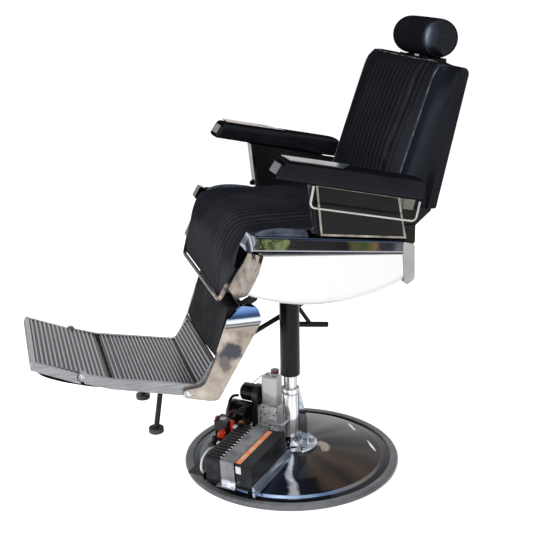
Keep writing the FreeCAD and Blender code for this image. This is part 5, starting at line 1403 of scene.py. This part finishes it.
# name, low and high corners in the tilted pack frame, finish, slot
PACK_SLABS = (
    ("battery_strip", (9, 36, LID_TOP), (188, 51.5, LID_TOP + 0.9), "strip", "matt_black"),
    ("battery_end_tag", (3.1, 33, 60), (3.9, 49, 81), "plastic", "pale_plastic"),
    ("terminal_blue", (160, 138, LID_TOP + 2.1), (172, 147, 96), "blue", "steel"),
    ("terminal_copper", (182, 130, LID_TOP + 2.1), (196, 144, 98), "copper", "steel"),
    ("relay_plate", (176, 184, 98.1), (192, 200, 99.2), "plastic", "aluminium"),
    ("relay_fuse", (170, 205, 98.1), (184, 211, 106), "dark_red", "red_plastic"),
    ("relay_stud", (108, 162, 60.1), (117, 171, 68), "plastic", "steel"),
    ("strap_foot_plate", (-15, 46, 21.2), (1.5, 100, 22.0), "bolt", "steel"),
)

# the same in the level pack frame
LEVEL_SLABS = (
    ("pump_casting", (265, 122.6, 38), (312, 148, 126), "casting", "cast_aluminium"),
    ("pump_port_block", (268, 96, 126.4), (312, 121, 133.4), "casting", "cast_aluminium"),
)

# name, path in the level pack frame, radius, finish
PACK_LEADS = (
    ("lead_loop", [(110, 166, 56), (84, 163, 70), (48, 163, 80), (16, 163, 68), (6, 162, 44), (18, 160, 27),
                   (44, 158, 24)], 3.4, "plastic"),
    ("lead_motor", [(214, 190, 74), (214, 196, 108), (226, 200, 142), (246, 200, 152), (262, 192, 150)],
     4.2, "motor"),
    ("lead_battery", [(186, 164, 110), (188, 160, 126), (204, 152, 136), (230, 146, 138), (256, 142, 134)],
     4.2, "motor"),
    ("lead_relay", [(150, 200, 66), (170, 214, 84), (196, 222, 96), (214, 214, 100), (226, 206, 96)],
     3.4, "motor"),
    ("lead_red", [(190, 188, 112), (202, 182, 124), (214, 172, 126), (222, 162, 118)], 2.6, "dark_red"),
    ("sender_wire", [(289, 160, 181), (290, 146, 196), (290, 132, 210), (290, 118, 218), (291, 104, 222)],
     1.1, "motor"),
)


class CHAIR_OT_pack(bpy.types.Operator):
    """Small pieces of the power pack: the bare strip, terminals, stud covers, pale lid fin edges that are
    painted highlights, and fixed leads
    """
    bl_idname = "chair.pack"
    bl_label = "Power pack details"

    def execute(self, context):
        for tilted, slabs in ((True, PACK_SLABS), (False, LEVEL_SLABS)):
            for name, low, high, finish, slot in slabs:
                points, faces = slab(low, high)
                piece(name, on_pack(points, tilted), faces, "base", finish, smooth=False)
        # painted highlights: pale edges for the lit ends of the lid's fins
        for k in range(LID_FINS):
            start = 13.5 + LID_FIN_PITCH * k
            ridge, faces = slab((start, 95, LID_TOP + 2.1), (start + 4, 101, LID_TOP + 2.8))
            piece("lid_fin_lit_edge_%02d" % (k + 1), on_pack(ridge), faces, "base", "plastic",
                  smooth=False)
        for name, path, radius, finish in PACK_LEADS:
            points, faces = tube(smooth_path(path, 40), radius, 12)
            piece(name, on_pack(points, False), faces, "base", finish)
        self.boots()
        return {"FINISHED"}

    def boots(self):
        """Soft stud covers: rounded caps over the relay's studs."""
        for place, high, finish, slot in (((186.0, 164.0), 98.0, "red", "red_plastic"),
                                          ((120.0, 186.0), 79.0, "motor", "matt_black")):
            cap = [[7.6, 60], [7.9, 64], [7.6, high - 10], [6.6, high - 3], [4.0, high - 0.6], [0.1, high]]
            points, faces = lathe(smooth_path(cap, 18), 24, "Z", (*place, 0.0))
            piece("stud_cover_" + finish, on_pack(points), faces, "base", finish)


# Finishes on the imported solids

class CHAIR_OT_finishes(bpy.types.Operator):
    """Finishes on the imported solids"""
    bl_idname = "chair.finishes"
    bl_label = "Finishes"

    def execute(self, context):
        make_finishes()
        finish_of = {node: finish for finish, nodes in NODES_OF_FINISH.items() for node in nodes.split()}
        for name, obj in NODES.items():
            obj.data.materials.clear()
            obj.data.materials.append(FINISHES[finish_of.get(name, "vinyl")])
        return {"FINISHED"}


# Stage

LAMP_AIM = (0, 0, 0.7)
# name, place in metres, size, share of the key light's power, shown in gloss
LAMPS = (
    ("Key softbox", (2.6, -2.2, 3.4), 2.4, 1.0, False),
    ("Fill softbox", (0.8, -3.6, 1.6), 1.6, 0.3, False),
    ("Back softbox", (-2.4, 2.4, 2.8), 2.0, 0.4, False),
    ("Spot softbox", (1.0, -3.4, 1.9), 0.5, 0.3, True),
)


def area_light(name, place, aim, size, power):
    """Square softbox at place, turned to aim."""
    lamp = bpy.data.lights.new(name, "AREA")
    lamp.size, lamp.energy = size, power
    obj = bpy.data.objects.new(name, lamp)
    bpy.context.scene.collection.objects.link(obj)
    obj.location = place
    obj.rotation_euler = (Vector(aim) - Vector(place)).to_track_quat("-Z", "Y").to_euler()
    return obj


def seen_share(tree):
    """1 for camera, glossy and transmission rays, 0 for the rest."""
    path = add(tree, "ShaderNodeLightPath").outputs
    seen = maths(tree, "MAXIMUM", path["Is Camera Ray"], path["Is Glossy Ray"])
    return maths(tree, "MAXIMUM", seen, path["Is Transmission Ray"])


def floor_material():
    """Matt ground that shows as plain white to the camera and in gloss, and keeps shadows."""
    material, tree, shader = finish_material("Pale floor", Base_Color=(0.9, 0.9, 0.9), Roughness=0.9,
                                             Specular_IOR_Level=0.0, Emission_Color=(1.0, 1.0, 1.0))
    feed(tree, shader, Emission_Strength=maths(tree, "MULTIPLY", seen_share(tree), 0.56))
    return material


class CHAIR_OT_stage(bpy.types.Operator):
    """Camera, soft lights, world and floor"""
    bl_idname = "chair.stage"
    bl_label = "Stage"

    def execute(self, context):
        scene = context.scene
        settings = scene.chair_stage
        self.camera(scene, settings)
        self.world(scene, settings)
        for name, place, size, share, mirrored in LAMPS:
            area_light(name, place, LAMP_AIM, size, settings.key * share).visible_glossy = mirrored
        points, faces = slab((-60000, -60000, -12), (60000, 60000, -0.5))
        floor = linked("floor", points, faces)
        floor.data.materials.append(floor_material())
        scene.view_settings.view_transform = "Standard"
        return {"FINISHED"}

    def camera(self, scene, settings):
        """The viewing angle solved from the base's ellipse and the chair's level edges."""
        data = bpy.data.cameras.new("Camera")
        data.lens = settings.lens
        data.sensor_width = 36.0
        camera = bpy.data.objects.new("Camera", data)
        scene.collection.objects.link(camera)
        right = Vector((0.268, 0.9632, -0.02)).normalized()
        back = Vector((0.9233, -0.2509, 0.2907)).normalized()
        up = back.cross(right).normalized()
        turn = Matrix((right, up, back)).transposed().to_4x4()
        camera.matrix_world = Matrix.Translation((2.539, -0.753, 1.383)) @ turn
        scene.camera = camera

    def world(self, scene, settings):
        """Even pale light, seen as plain white by the camera and in gloss."""
        world = bpy.data.worlds.new("Studio")
        world.use_nodes = True
        scene.world = world
        tree = world.node_tree
        tree.nodes.clear()
        lit = add(tree, "ShaderNodeBackground", {"Color": (1, 1, 1, 1), "Strength": settings.world})
        shown = add(tree, "ShaderNodeBackground", {"Color": (1, 1, 1, 1), "Strength": 1.0})
        mix = add(tree, "ShaderNodeMixShader", {0: seen_share(tree), 1: lit.outputs[0], 2: shown.outputs[0]})
        add(tree, "ShaderNodeOutputWorld", {"Surface": mix.outputs[0]})


# Add-on

OPERATORS = (CHAIR_OT_finishes, CHAIR_OT_stage, CHAIR_OT_base, CHAIR_OT_pack, CHAIR_OT_seat_pad,
             CHAIR_OT_seat_rolls, CHAIR_OT_back_pad, CHAIR_OT_headrest, CHAIR_OT_arm_pads, CHAIR_OT_leg_pads,
             CHAIR_OT_plates)
GROUPS = {"chair_pads": ChairPads, "chair_colours": ChairColours, "chair_stage": ChairStage}


class CHAIR_PT_panel(bpy.types.Panel):
    """Chair pieces in the 3D view's sidebar"""
    bl_idname = "CHAIR_PT_panel"
    bl_label = "Barber chair"
    bl_space_type = "VIEW_3D"
    bl_region_type = "UI"
    bl_category = "Chair"

    def draw(self, context):
        for group in GROUPS:
            box = self.layout.box()
            for key in GROUPS[group].__annotations__:
                box.prop(getattr(context.scene, group), key)
        for operator in OPERATORS:
            self.layout.operator(operator.bl_idname)


def register():
    for cls in (*GROUPS.values(), *OPERATORS, CHAIR_PT_panel):
        bpy.utils.register_class(cls)
    for name, cls in GROUPS.items():
        setattr(bpy.types.Scene, name, PointerProperty(type=cls))


def unregister():
    for name in GROUPS:
        delattr(bpy.types.Scene, name)
    for cls in reversed((*GROUPS.values(), *OPERATORS, CHAIR_PT_panel)):
        bpy.utils.unregister_class(cls)


def main():
    register()
    for operator in OPERATORS:
        getattr(bpy.ops.chair, operator.bl_idname.split(".")[1])()
    bpy.context.view_layer.update()


if __name__ == "__main__":
    main()
